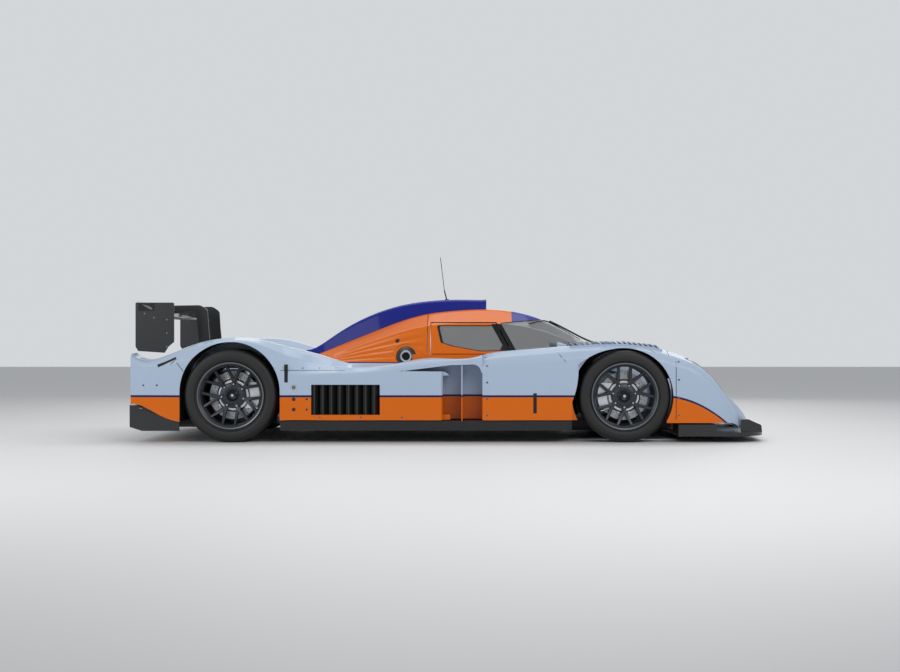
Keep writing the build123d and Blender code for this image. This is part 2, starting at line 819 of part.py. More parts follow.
with BuildPart() as endplates:
    plate = [
        (-2053, 1028),
        (-2053, 735),
        (-2095, 700),
        (-2122, 655),
        (-2318, 668),
        (-2338, 700),
        (-2338, 1028),
    ]
    extrude(side_face(-wing_half_span, plate, [8, 10, 20, 8, 8, 20, 8]), amount=endplate_thickness)
    add(side_form.part, mode=Mode.SUBTRACT)
    mirror(about=Plane.XZ)
pieces["endplates"] = endplates.part

pylon = [
    (-1846, 300),
    (-1898, 860),
    (-1905, 985),
    (-1960, 1022),
    (-2230, 1018),
    (-2230, 950),
    (-2130, 960),
    (-2010, 975),
    (-1985, 900),
    (-1940, 300),
]
with BuildPart() as wing_pylons:
    extrude(side_face(-pylon_y, pylon, [0, 200, 40, 60, 6, 0, 10, 20, 60, 0]), amount=pylon_thickness)
    add(
        box_between((-1940, -pylon_y - pylon_thickness, 300), (-1846, -80, 318)),
    )
    add(rear_wing.part, mode=Mode.SUBTRACT)
    add(powertrain.part, mode=Mode.SUBTRACT)
    mirror(about=Plane.XZ)
pieces["wing_pylons"] = wing_pylons.part


# Wheels: each is drawn about its own centre with +Y inboard, then put in place
def rim(width, dish):
    """A rim with seven arms that each fork in two: a dished web with two sizes of window cut through it."""
    half = width / 2
    r, f, t = rim_radius, rim_flange_radius, rim_wall
    web_outer = -half + dish
    with BuildPart() as wheel_rim:
        with BuildSketch(Plane.YZ):
            with BuildLine():
                Polyline(
                    (-half, r - t + 4),
                    (-half, f),
                    (-half + 8, f),
                    (-half + 16, r),
                    (half - 16, r),
                    (half - 8, f),
                    (half, f),
                    (half, r - t),
                    (-half + 40, r - t),
                    close=True,
                )
            make_face()
        with BuildSketch(Plane.YZ):
            with BuildLine():
                Polyline(
                    (web_outer, hub_shaft_radius - 5),
                    (web_outer - 4, hub_face_radius),
                    (web_outer - 20, 120),
                    (-half + 30, r - t - 14),
                    (-half + 26, r - t + 2),
                    (-half + 26 + web_thickness, r - t + 2),
                    (web_outer + web_thickness - 14, 120),
                    (web_outer + web_thickness + 14, hub_face_radius),
                    (web_outer + web_thickness + 14, hub_shaft_radius - 5),
                    close=True,
                )
            make_face()
        revolve(axis=Axis.Y)
        # Windows between the arms, and smaller ones in each fork
        with BuildSketch(Plane.XZ.offset(half)):
            with PolarLocations(0, spoke_count, start_angle=90):
                add(flat_face([(80, -13), (80, 13), (206, 36), (206, -36)], [9, 9, 8, 8]))
            with PolarLocations(0, spoke_count, start_angle=90 + 180 / spoke_count):
                add(flat_face([(128, 0), (208, 34), (208, -34)], [5, 7, 7]))
        extrude(amount=-width, mode=Mode.SUBTRACT)
        # Centre nut
        with BuildSketch(Plane.XZ.offset(-web_outer)):
            Circle(wheel_nut_radius)
        extrude(amount=22)
        with BuildSketch(Plane.XZ.offset(-web_outer + 22)):
            RegularPolygon(wheel_nut_radius * 0.62, 6)
        extrude(amount=-16, mode=Mode.SUBTRACT)
    return wheel_rim.part


def tyre(radius, width, rim_width):
    """A slick tyre: flat tread, cut shoulders and a wall that draws in to each bead."""
    half, bead = width / 2, rim_width / 2 - 9
    inner = rim_radius + tyre_seat_gap
    with BuildPart() as cover:
        with BuildSketch(Plane.YZ):
            with BuildLine():
                Polyline(
                    (-half + 34, radius),
                    (half - 34, radius),
                    (half - 8, radius - 16),
                    (half, radius - 52),
                    (bead, rim_flange_radius + 3),
                    (bead - 8, inner),
                    (-bead + 8, inner),
                    (-bead, rim_flange_radius + 3),
                    (-half, radius - 52),
                    (-half + 8, radius - 16),
                    close=True,
                )
            make_face()
        revolve(axis=Axis.Y)
    return cover.part


def brake_disc(web_inner, disc_y, shaft_end):
    """A ventilated disc on its bell, with the hub shaft that turns in the upright."""
    with BuildPart() as disc:
        for y, outer, inner, depth in [
            (disc_y, disc_radius, 118, disc_thickness),
            (web_inner, 124, 60, disc_y - web_inner + 12),
            (web_inner, 64, 0, 14),
            (web_inner, hub_shaft_radius, 0, shaft_end - web_inner),
        ]:
            with BuildSketch(Plane.XZ.offset(-y)):
                Circle(outer)
                if inner:
                    Circle(inner, mode=Mode.SUBTRACT)
            extrude(amount=-depth)
        with BuildSketch(Plane.XZ.offset(-web_inner)):
            Circle(124)
        extrude(amount=-10)
    return disc.part


# name, axle x, tyre radius, tyre width, rim width, dish
wheel_rows = [
    ("front", front_axle_x, front_tyre_radius, front_tyre_width, 318, front_dish),
    ("rear", rear_axle_x, rear_tyre_radius, rear_tyre_width, 352, rear_dish),
]
hub_shaft_length = 150
upright_depth = 70
upright_gap = 8
for name, axle_x, radius, width, rim_width, dish in wheel_rows:
    centre_y = -tyre_outer_y + width / 2
    place = Location((axle_x, centre_y, radius))
    web_inner = -rim_width / 2 + dish + web_thickness + 14
    disc_y = web_inner + 22
    parts = {
        "tyre": tyre(radius, width, rim_width),
        "rim": rim(rim_width, dish),
        "brake_disc": brake_disc(web_inner, disc_y, disc_y + disc_thickness + upright_depth),
    }
    for kind, shape in parts.items():
        right = shape.moved(place)
        pieces[f"{kind}_{name}_right"] = right
        pieces[f"{kind}_{name}_left"] = mirror(right, about=Plane.XZ)

    # The upright that carries the wheel, with its brake caliper
    upright_y = centre_y + disc_y + disc_thickness + upright_gap
    caliper_x = -1 if name == "front" else 1
    with BuildPart() as upright:
        with BuildSketch(Plane.XZ.offset(-upright_y)):
            with Locations((axle_x, radius)):
                Circle(62)
                Rectangle(70, 290)
                Circle(hub_shaft_radius + shaft_clearance, mode=Mode.SUBTRACT)
        extrude(amount=-upright_depth)
        with BuildPart(mode=Mode.PRIVATE) as caliper:
            with BuildSketch(Plane.XZ.offset(-(centre_y + disc_y - 24))):
                with Locations((axle_x, radius)):
                    Circle(disc_radius + 16)
                    Circle(126, mode=Mode.SUBTRACT)
                    with Locations((caliper_x * 150, 0)):
                        Rectangle(150, 190, mode=Mode.INTERSECT)
            extrude(amount=-(disc_thickness + 24 + upright_gap + 12))
            with BuildSketch(Plane.XZ.offset(-(centre_y + disc_y - running_gap))):
                with Locations((axle_x, radius)):
                    Circle(disc_radius + running_gap)
            extrude(amount=-(disc_thickness + running_gap + 5), mode=Mode.SUBTRACT)
        add(caliper.part)
        add(
            box_between(
                (min(axle_x, axle_x + caliper_x * 190), upright_y, radius - 30),
                (max(axle_x, axle_x + caliper_x * 190), upright_y + 14, radius + 30),
            )
        )
        with BuildSketch(Plane.XZ.offset(-upright_y)):
            with Locations((axle_x, radius)):
                Circle(hub_shaft_radius + shaft_clearance)
        extrude(amount=-upright_depth, mode=Mode.SUBTRACT)
    if name == "front":
        pieces["front_upright_right"] = upright.part
        pieces["front_upright_left"] = mirror(upright.part, about=Plane.XZ)
    else:
        with BuildPart() as rear_uprights:
            add(upright.part)
            mirror(about=Plane.XZ)
        pieces["rear_uprights"] = rear_uprights.part

# Suspension arms: each pair meets at a joint on its upright and spreads to the hull
arm_radius = 13
front_upright_low_z = front_tyre_radius - 145
front_upright_high_z = front_tyre_radius + 145
joint_gap = 0.5
arm_drop = 14  # the arms stand off the upright's ends, so that its corners clear them on full lock
arm_rise = 5
# axle x, joint y and z, spread of the feet, foot y and z
arm_rows = {
    "front_wishbones": [
        (front_axle_x, -kingpin_y, front_upright_low_z - arm_radius - arm_drop, 125, -290, 250),
        (front_axle_x, -kingpin_y, front_upright_high_z + arm_radius + arm_rise, 110, -290, 520),
    ],
    "rear_wishbones": [
        (rear_axle_x, -700, 222, 150, -140, 250),
        (rear_axle_x, -700, 452, 130, -130, 400),
    ],
}
for name, rows in arm_rows.items():
    with BuildPart() as arms:
        for axle_x, joint_y, joint_z, spread, foot_y, foot_z in rows:
            for side in (-1, 1):
                add(rod((axle_x + 12 * side, joint_y, joint_z), (axle_x + spread * side, foot_y, foot_z), arm_radius))
            if name == "front_wishbones":
                # a round joint over or under the upright's end, on the steering axis
                above = joint_z > front_tyre_radius
                face_z = front_upright_high_z + joint_gap if above else front_upright_low_z - joint_gap
                add(rod((axle_x, joint_y, face_z), (axle_x, joint_y, joint_z + (10 if above else -10)), 22))
        if name == "rear_wishbones":
            add(rod((rear_axle_x, -690, rear_tyre_radius), (rear_axle_x, -130, 330), 22))
            add(powertrain.part, mode=Mode.SUBTRACT)
            add(rear_uprights.part, mode=Mode.SUBTRACT)
            add(pieces["brake_disc_rear_right"], mode=Mode.SUBTRACT)
        else:
            add(nose.part, mode=Mode.SUBTRACT)
            add(tub.part, mode=Mode.SUBTRACT)
        mirror(about=Plane.XZ)
    pieces[name] = arms.part

# Cockpit furniture: the driver sits on the right
driver_y = -205
with BuildPart() as seat:
    seat_side = [
        (330, 250),
        (330, 320),
        (60, 262),
        (-66, 640),
        (-84, 740),
        (-146, 740),
        (-150, 600),
        (-60, 185),
        (300, 185),
    ]
    extrude(side_face(driver_y + 170, seat_side, [20, 20, 80, 60, 20, 20, 60, 20, 20]), amount=340)
    bolster = [(300, 230), (300, 390), (30, 450), (-50, 660), (-130, 660), (-50, 200), (60, 200)]
    for y in (driver_y + 170, driver_y - 130):
        extrude(side_face(y, bolster, [20, 60, 80, 40, 20, 20, 20]), amount=40)
pieces["seat"] = seat.part

column_start = Vector(640, driver_y, 560)
wheel_centre = Vector(400, driver_y, 640)
column_direction = (wheel_centre - column_start).normalized()
with BuildPart() as dashboard:
    dash_side = [(640, 500), (600, 610), (640, 660), (760, 690), (800, 500)]
    extrude(side_face(400, dash_side, 15), amount=800)
    add(rod(column_start, wheel_centre - column_direction * 30, 20))
    add(cabin_shell.part, mode=Mode.SUBTRACT)
    add(tub.part, mode=Mode.SUBTRACT)
    add(glass_inner, mode=Mode.INTERSECT)
pieces["dashboard"] = dashboard.part

with BuildPart() as steering_wheel:
    with BuildSketch(Plane(origin=wheel_centre, x_dir=(0, 1, 0), z_dir=column_direction)):
        RectangleRounded(280, 170, 50)
        with Locations((-105, 0), (105, 0)):
            RectangleRounded(36, 96, 16, mode=Mode.SUBTRACT)
    extrude(amount=28)
    with BuildSketch(Plane(origin=wheel_centre - column_direction * 29.7, z_dir=column_direction)):
        Circle(26)
    extrude(amount=29.7)
pieces["steering_wheel"] = steering_wheel.part

# Mirrors on the inner edge of each front fender
with BuildPart() as mirrors:
    with BuildSketch(Plane.YZ.offset(800)):
        with Locations((-590, 700)):
            RectangleRounded(150, 70, 24)
    extrude(amount=70, taper=14)
    with BuildSketch(Plane.XY.offset(640)):
        with Locations((823, -638)):
            RectangleRounded(34, 24, 8)
    extrude(amount=60)
    add(front_fenders.part, mode=Mode.SUBTRACT)
    mirror(about=Plane.XZ)
pieces["mirrors"] = mirrors.part

# Aerial, wiper, tail lamps, towing eyes and fuel filler
aerial_foot = (-46, 0, 1066)
aerial_tip = (-98, 0, 1408)
with BuildPart() as aerial:
    add(rod(aerial_foot, (-66, 0, 1145), 5))
    add(rod((-66, 0, 1145), aerial_tip, 2.5))
    with BuildSketch(Plane.XY.offset(1062)):
        with Locations((-46, 0)):
            Circle(16)
    extrude(amount=14)
    add(air_scoop.part, mode=Mode.SUBTRACT)
pieces["aerial"] = aerial.part

with BuildPart() as tail_lamps:
    add(box_between((rear_end_x + 2, -920, 520), (rear_end_x + 10, -800, 585)))
    mirror(about=Plane.XZ)
pieces["tail_lamps"] = tail_lamps.part

filler = (-350, -386, 624)
filler_bore_radius = 30
filler_ring_radius = 46
filler_length = 44
with BuildPart() as fuel_filler:
    with BuildSketch(Plane(origin=filler, z_dir=(0, -1, 0))):
        Circle(filler_ring_radius)
        Circle(filler_bore_radius, mode=Mode.SUBTRACT)
    extrude(amount=filler_length)
pieces["fuel_filler"] = fuel_filler.part
filler_seat = rod(filler, (filler[0], -700, filler[2]), filler_ring_radius)
filler_dish = rod((filler[0], filler[1] - 20, filler[2]), (filler[0], -700, filler[2]), 72)
pieces["engine_cover"] = pieces["engine_cover"] - filler_seat - filler_dish

jack_socket = (-1139, -965, 404)
jack_bore_radius = 14
jack_ring_radius = 26
jack_length = 30
with BuildPart() as air_jack_socket:
    with BuildSketch(Plane(origin=jack_socket, z_dir=(0, -1, 0))):
        Circle(jack_ring_radius)
        Circle(jack_bore_radius, mode=Mode.SUBTRACT)
    extrude(amount=jack_length)
pieces["air_jack_socket"] = air_jack_socket.part
pieces["sidepods"] = pieces["sidepods"] - rod(jack_socket, (jack_socket[0], -1100, jack_socket[2]), jack_ring_radius)

tow_eye_radius = 28
tow_eye_thickness = 10
with BuildPart() as tow_eyes:
    for x, z in ((-2000, 350),):
        with BuildSketch(Plane.XZ.offset(tow_eye_thickness / 2)):
            with Locations((x, z)):
                Circle(tow_eye_radius + 12)
                with Locations((40, 0)):
                    Rectangle(80, 30)
                Circle(tow_eye_radius, mode=Mode.SUBTRACT)
        extrude(amount=-tow_eye_thickness)
    add(powertrain.part, mode=Mode.SUBTRACT)
pieces["tow_eye"] = tow_eyes.part

os.makedirs("parts", exist_ok=True)
for name, shape in pieces.items():
    shape.label = name
    export_step(shape, f"parts/{name}.step")
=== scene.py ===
# A closed endurance racing prototype in pale blue, orange and royal blue, dressed around its CAD frame.
from functools import partial
from math import asin, cos, hypot, pi, radians, sin, sqrt
from types import SimpleNamespace

import bmesh
import bpy
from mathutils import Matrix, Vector
from mathutils.bvhtree import BVHTree


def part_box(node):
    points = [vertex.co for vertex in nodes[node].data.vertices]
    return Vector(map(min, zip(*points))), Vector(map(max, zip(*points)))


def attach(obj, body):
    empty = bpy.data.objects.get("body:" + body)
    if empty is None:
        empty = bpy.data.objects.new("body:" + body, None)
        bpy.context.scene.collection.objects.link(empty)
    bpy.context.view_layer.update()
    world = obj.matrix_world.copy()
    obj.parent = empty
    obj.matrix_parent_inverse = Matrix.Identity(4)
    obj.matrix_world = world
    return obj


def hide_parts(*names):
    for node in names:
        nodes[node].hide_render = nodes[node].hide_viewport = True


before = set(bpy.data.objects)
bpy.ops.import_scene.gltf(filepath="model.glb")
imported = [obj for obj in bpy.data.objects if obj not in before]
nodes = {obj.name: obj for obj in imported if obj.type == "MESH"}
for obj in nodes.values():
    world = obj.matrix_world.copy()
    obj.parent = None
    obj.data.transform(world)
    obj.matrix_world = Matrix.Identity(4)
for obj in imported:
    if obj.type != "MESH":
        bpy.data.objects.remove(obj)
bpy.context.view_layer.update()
print("frame loaded:", len(nodes), "nodes")

# Places that several pieces share, in metres
car = {
    "frontAxle": 1.278,
    "rearAxle": -1.607,
    "frontTyreRadius": 0.338,  # also the height of the front arches' centre
    "rearTyreRadius": 0.342,
    "rearArchZ": 0.370,  # height of the rear arches' centre
    "frontWheelY": 0.810,
    "rearWheelY": 0.7925,
    "deckZ": 0.572,  # foot of the orange hump on the pale deck
    "fillerX": -0.350,
    "fillerZ": 0.624,
    "stripeZ": 0.340,  # the dark line between the pale blue above and the orange below
    "stripeHalf": 0.0075,
}


# Colours and materials
def toLinear(hexColour):
    channels = [int(hexColour[i : i + 2], 16) / 255 for i in (1, 3, 5)]
    linear = [c / 12.92 if c <= 0.04045 else ((c + 0.055) / 1.055) ** 2.4 for c in channels]
    return (*linear, 1.0)


def addNode(tree, kind, settings=None):
    # each setting is a property or an input, and an input takes a number, a hex colour or an output
    node = tree.nodes.new("ShaderNode" + kind)
    for name, value in (settings or {}).items():
        if isinstance(value, bpy.types.NodeSocket):
            tree.links.new(value, node.inputs[name])
        elif isinstance(name, int) or name not in node.bl_rna.properties:
            node.inputs[name].default_value = toLinear(value) if isinstance(value, str) else value
        else:
            setattr(node, name, value)
    return node


def newMaterial(name, colour, roughness, settings=None):
    material = bpy.data.materials.new(name)
    material.use_nodes = True
    material.diffuse_color = toLinear(colour)
    inputs = material.node_tree.nodes["Principled BSDF"].inputs
    given = {"Base Color": toLinear(colour), "Roughness": roughness, **(settings or {})}
    for socket, value in given.items():
        inputs[socket].default_value = value
    return material


def linkInto(material, socket, output):
    tree = material.node_tree
    tree.links.new(output, tree.nodes["Principled BSDF"].inputs[socket])


def placeOf(tree):
    return addNode(tree, "TexCoord").outputs["Object"]


def mathNode(tree, operation, a, b=0.0):
    return addNode(tree, "Math", {"operation": operation, 0: a, 1: b}).outputs[0]


paint = {
    "paleBlue": "#AFC0D6",
    "orange": "#DC6A09",
    "royalBlue": "#0C1C86",
    "lineBlue": "#151A55",
    "black": "#0D0E11",
    "roughness": 0.38,
    "curveStart": 1.55,  # the side line falls away ahead of this x
    "curveDrop": 0.88,
    "centreHalf": 0.105,  # half width of the orange band along the nose
    "borderWidth": 0.016,
    "roofBand": 0.464,  # the roof is royal blue ahead of this x
    "pillarSlope": 0.467,  # lean of the line between the orange door and the black pillar
    "pillarFoot": 0.712,
    "pillarTop": 0.874,
    "hullBand": 0.50,  # the hull's sides are pale blue ahead of this x
    "deckLine": 0.008,  # height of the dark line round the foot of the hump
}


def mixColours(tree, factor, under, over):
    return addNode(tree, "Mix", {"data_type": "RGBA", "Factor": factor, 6: under, 7: over}).outputs[2]


# Fields of colour on the body: each takes the sum and mix tools of its node tree and the place
def sideColour(do, mix, x, y, z):
    # pale blue over orange with a dark line between, which falls towards the nose
    ahead = do("MAXIMUM", do("SUBTRACT", x, paint["curveStart"]), 0.0)
    drop = do("MULTIPLY", do("POWER", ahead, 2.0), paint["curveDrop"])
    height = do("ADD", z, drop)
    below = do("LESS_THAN", height, car["stripeZ"])
    offLine = do("ABSOLUTE", do("SUBTRACT", height, car["stripeZ"]))
    onLine = do("LESS_THAN", offLine, car["stripeHalf"])
    fields = mix(below, paint["paleBlue"], paint["orange"])
    return mix(onLine, fields, paint["lineBlue"])


def noseColour(do, mix, x, y, z):
    # an orange band with dark borders along the middle
    across = do("ABSOLUTE", y)
    band = do("LESS_THAN", across, paint["centreHalf"])
    edge = do("LESS_THAN", across, paint["centreHalf"] + paint["borderWidth"])
    return mix(band, mix(edge, paint["paleBlue"], paint["lineBlue"]), paint["orange"])


def roofColour(do, mix, x, y, z):
    # orange with a royal blue brow, and black pillars beside the screen
    front = do("GREATER_THAN", x, paint["roofBand"])
    slant = do("ADD", x, do("MULTIPLY", z, paint["pillarSlope"]))
    pillar = do("GREATER_THAN", slant, paint["pillarFoot"])
    low = do("LESS_THAN", z, paint["pillarTop"])
    fields = mix(front, paint["orange"], paint["royalBlue"])
    return mix(do("MULTIPLY", pillar, low), fields, paint["black"])


def hullColour(do, mix, x, y, z):
    return mix(do("GREATER_THAN", x, paint["hullBand"]), paint["orange"], paint["paleBlue"])


def coverColour(do, mix, x, y, z):
    # orange hump and pale deck, with a thin dark line between them
    deck = do("LESS_THAN", z, car["deckZ"])
    line = do("LESS_THAN", z, car["deckZ"] + paint["deckLine"])
    return mix(deck, mix(line, paint["orange"], paint["lineBlue"]), paint["paleBlue"])


# Racing enamel: one colour or several fields, under a clear gloss with a very faint orange peel
def paintMaterial(name, colour, fieldsOf=None):
    gloss = {"Coat Weight": 0.4, "Coat Roughness": 0.05, "Coat IOR": 1.4, "Specular IOR Level": 0.12}
    material = newMaterial(name, colour, paint["roughness"], gloss)
    tree = material.node_tree
    place = placeOf(tree)
    if fieldsOf:
        x, y, z = addNode(tree, "SeparateXYZ", {0: place}).outputs
        fields = fieldsOf(partial(mathNode, tree), partial(mixColours, tree), x, y, z)
        linkInto(material, "Base Color", fields)
    peel = addNode(tree, "TexNoise", {"Scale": 220.0, "Detail": 1.0, "Vector": place})
    bump = addNode(tree, "Bump", {"Strength": 0.02, "Distance": 0.0006, "Height": peel.outputs[0]})
    linkInto(material, "Coat Normal", bump.outputs[0])
    return material


# Twill carbon fibre under satin lacquer: 2 mm tows drawn 6 mm wide so that they show
def carbonMaterial(name, colour="#0A0B0C", roughness=0.34, coat=0.3):
    material = newMaterial(name, colour, roughness, {"Coat Weight": coat, "Coat Roughness": 0.12})
    tree = material.node_tree
    weave = addNode(tree, "TexChecker", {"Scale": 1 / 0.006, "Vector": placeOf(tree)}).outputs[1]
    ramp = addNode(tree, "MapRange", {0: weave, 3: roughness - 0.06, 4: roughness + 0.10})
    linkInto(material, "Roughness", ramp.outputs[0])
    linkInto(material, "Base Color", mixColours(tree, weave, colour, "#121316"))
    return material


# Anything with a fine grain: a noise at a real size in metres drives the roughness and a small bump
def grainMaterial(name, colour, roughness, grain, depth, settings=None):
    material = newMaterial(name, colour, roughness, settings)
    tree = material.node_tree
    texture = {"Scale": 1 / grain, "Detail": 3.0, "Roughness": 0.6, "Vector": placeOf(tree)}
    noise = addNode(tree, "TexNoise", texture).outputs[0]
    limits = {0: noise, 3: max(0.02, roughness - 0.08), 4: roughness + 0.08}
    linkInto(material, "Roughness", addNode(tree, "MapRange", limits).outputs[0])
    bump = addNode(tree, "Bump", {"Strength": 0.4, "Distance": depth, "Height": noise})
    linkInto(material, "Normal", bump.outputs[0])
    return material


def metalMaterial(name, colour, roughness, metallic, grain=0.002, depth=0.00005):
    return grainMaterial(name, colour, roughness, grain, depth, {"Metallic": metallic})


sidePaint = paintMaterial("racing enamel, sides", paint["paleBlue"], sideColour)
nosePaint = paintMaterial("racing enamel, nose", paint["paleBlue"], noseColour)
roofPaint = paintMaterial("racing enamel, roof", paint["orange"], roofColour)
coverPaint = paintMaterial("racing enamel, engine cover", paint["orange"], coverColour)
spinePaint = paintMaterial("racing enamel, spine", paint["royalBlue"])
hullPaint = paintMaterial("racing enamel, hull sides", paint["paleBlue"], hullColour)
carbon = carbonMaterial("lacquered twill carbon fibre")
dryCarbon = carbonMaterial("dry carbon fibre", "#08090A", 0.5, 0.0)
slickRubber = grainMaterial("scrubbed slick rubber", "#0A0A0B", 0.66, 0.003, 0.0004)
wallRubber = grainMaterial("moulded sidewall rubber", "#0D0D0E", 0.55, 0.0015, 0.00015)
rimMetal = metalMaterial("forged magnesium, satin grey paint", "#3B3E43", 0.34, 0.75)
lipMetal = metalMaterial("machined rim lip", "#6B6E73", 0.26, 1.0)
nutMetal = metalMaterial("hard anodised aluminium nut", "#26282C", 0.35, 0.9)
brightMetal = metalMaterial("turned aluminium", "#C9CBCE", 0.22, 1.0, depth=0.00003)
discMetal = metalMaterial("machined carbon ceramic disc", "#A4A7AB", 0.32, 0.8, 0.004, 0.0001)
bellMetal = metalMaterial("machined disc bell", "#CDD0D3", 0.28, 1.0)
caliperMetal = metalMaterial("anodised brake caliper", "#D2D4D7", 0.32, 0.9)
armSteel = metalMaterial("black lacquered steel tube", "#1B1C1E", 0.4, 0.5)
engineMetal = metalMaterial("cast alloy casing", "#5A5C5E", 0.5, 0.8, 0.004, 0.0003)
blackPlastic = grainMaterial("black moulded nylon", "#0C0D0E", 0.45, 0.001, 0.0001)
suede = grainMaterial("black suede grip", "#1A1A1C", 0.85, 0.0008, 0.0003)
cloth = grainMaterial("black flameproof cloth", "#1C1D20", 0.9, 0.0012, 0.0004)
webbing = grainMaterial("woven harness webbing", "#1B2E8C", 0.8, 0.001, 0.0003)
padFoam = grainMaterial("black foam padding", "#202124", 0.85, 0.002, 0.0006)
glass = newMaterial("tinted polycarbonate", "#0E1418", 0.03, {"Alpha": 0.30, "Specular IOR Level": 0.9})
coverGlass = newMaterial("clear lamp cover", "#20262A", 0.03, {"Alpha": 0.30, "Specular IOR Level": 0.9})
displayGlass = newMaterial("display glass", "#17324A", 0.08, {"Coat Weight": 0.8})
mirrorGlass = newMaterial("mirror glass", "#DDE2E6", 0.03, {"Metallic": 1.0})
lampGlass = newMaterial("lamp lens", "#EEF3F6", 0.03, {"Metallic": 0.3, "Coat Weight": 1.0})
whiteDiode = newMaterial("white lamp diode", "#F2F6FA", 0.2, {"Coat Weight": 0.6})
redDiode = newMaterial("red diode", "#E3221B", 0.2, {"Coat Weight": 0.6})
redLens = newMaterial("red tail lens", "#A30D0D", 0.12, {"Coat Weight": 1.0})
gapBlack = newMaterial("shadow gap", "#08090A", 0.7)
print("materials made")

# The finish of each node of the frame
nodeFinishes = [
    (sidePaint, "fender_louvres front_fenders intake_vanes mirrors rear_fenders sidepods"),
    (nosePaint, "nose"),
    (roofPaint, "roof door_right door_left"),
    (coverPaint, "engine_cover"),
    (spinePaint, "air_scoop"),
    (carbon, "diffuser endplates rear_wing splitter wing_pylons"),
    (dryCarbon, "dashboard floor tub"),
    (blackPlastic, "aerial side_vents"),
    (brightMetal, "air_jack_socket fuel_filler"),
    (armSteel, "front_wishbones rear_wishbones tow_eye"),
    (caliperMetal, "front_upright_right front_upright_left rear_uprights"),
    (engineMetal, "powertrain"),
    (glass, "windscreen door_window_right door_window_left"),
    (coverGlass, "headlamp_covers"),
    (lampGlass, "headlamps"),
    (redLens, "tail_lamps"),
    (cloth, "seat"),
    (suede, "steering_wheel"),
]
corners = ("front_right", "front_left", "rear_right", "rear_left")
for part, finish in (("tyre", slickRubber), ("rim", rimMetal), ("brake_disc", discMetal)):
    nodeFinishes.append((finish, " ".join(f"{part}_{corner}" for corner in corners)))
for finish, names in nodeFinishes:
    for name in names.split():
        nodes[name].data.materials.clear()
        nodes[name].data.materials.append(finish)

# Where a node has a second finish
second = {
    "cabinMiddle": 0.60, "coverMiddle": 0.45,  # heights that inner faces look at
    "frontArch": (car["frontAxle"], car["frontTyreRadius"], 0.46),  # x, z and reach
    "rearArch": (car["rearAxle"], car["rearArchZ"], 0.40),
    "lampX": 1.74, "lampY": (0.7065, 0.8485), "lampZ": (0.237, 0.598),
    "dishRadius": 0.074, "hullY": 0.33, "hullRimZ": 0.60,
}


def looksInward(face, middle):
    away = Vector((0, face.center.y, face.center.z - middle))
    return away.length > 0.05 and face.normal.dot(away.normalized()) < -0.25


def inArch(face, arch):
    axleX, axleZ, reach = arch
    toAxle = Vector((axleX - face.center.x, 0, axleZ - face.center.z))
    within = toAxle.length < reach and abs(face.normal.y) < 0.6
    return (within and face.normal.dot(toAxle.normalized()) > 0.3) or face.normal.z < -0.97


def inLampBay(face):
    (y0, y1), (z0, z1), place = second["lampY"], second["lampZ"], face.center
    return place.x > second["lampX"] and y0 < abs(place.y) < y1 and z0 < place.z < z1


def fromFiller(place):
    return hypot(place.x - car["fillerX"], place.z - car["fillerZ"])


def inFillerDish(face):
    corners = [nodes["engine_cover"].data.vertices[i].co for i in face.vertices]
    return face.center.y < -0.3 and all(fromFiller(corner) < second["dishRadius"] for corner in corners)


def inCoverInside(face):
    return looksInward(face, second["coverMiddle"]) or inFillerDish(face)


def onHullSide(face):
    outward = abs(face.normal.y) > 0.6 and face.normal.y * face.center.y > 0
    onRim = face.normal.z > 0.7 and face.center.z > second["hullRimZ"]
    return (outward and abs(face.center.y) > second["hullY"]) or onRim


def addFinish(name, finish, isChosen):
    mesh = nodes[name].data
    mesh.materials.append(finish)
    for face in mesh.polygons:
        if isChosen(face):
            face.material_index = 1


# Bare carbon inside the cabin, the wheel arches, the lamp bays and the filler's dish, and paint on the hull
for name in ("roof", "door_right", "door_left"):
    addFinish(name, dryCarbon, lambda face: looksInward(face, second["cabinMiddle"]))
addFinish("engine_cover", dryCarbon, inCoverInside)
addFinish("front_fenders", dryCarbon, lambda face: inArch(face, second["frontArch"]) or inLampBay(face))
addFinish("rear_fenders", dryCarbon, lambda face: inArch(face, second["rearArch"]))
addFinish("tub", hullPaint, onHullSide)
print("frame finished")

# Tools that make meshes, each shape as (points, faces)
def newObject(name, data):
    obj = bpy.data.objects.new(name, data)
    bpy.context.scene.collection.objects.link(obj)
    return obj


def evenAngles(count, shift=0.0):
    return [2 * pi * (k + shift) / count for k in range(count)]


def aroundY(centre, radius, angle, y=0.0):
    # a place round the line along Y through centre, and y along it
    return centre[0] + radius * cos(angle), centre[1] + y, centre[2] + radius * sin(angle)


def ringAt(centre, turn, radius, steps, height=0.0):
    flat = [(radius * cos(angle), radius * sin(angle), height) for angle in evenAngles(steps)]
    return [Vector(centre) + turn @ Vector(place) for place in flat]


def loftFaces(sides, rings, wraps=False):
    # faces between rings of points, and over both ends unless the last ring meets the first
    faces = []
    for ring in range(rings if wraps else rings - 1):
        here, there = ring * sides, (ring + 1) % rings * sides
        for i in range(sides):
            j = (i + 1) % sides
            faces.append([here + i, here + j, there + j, there + i])
    if not wraps:
        faces += [list(range(sides - 1, -1, -1)), list(range((rings - 1) * sides, rings * sides))]
    return faces


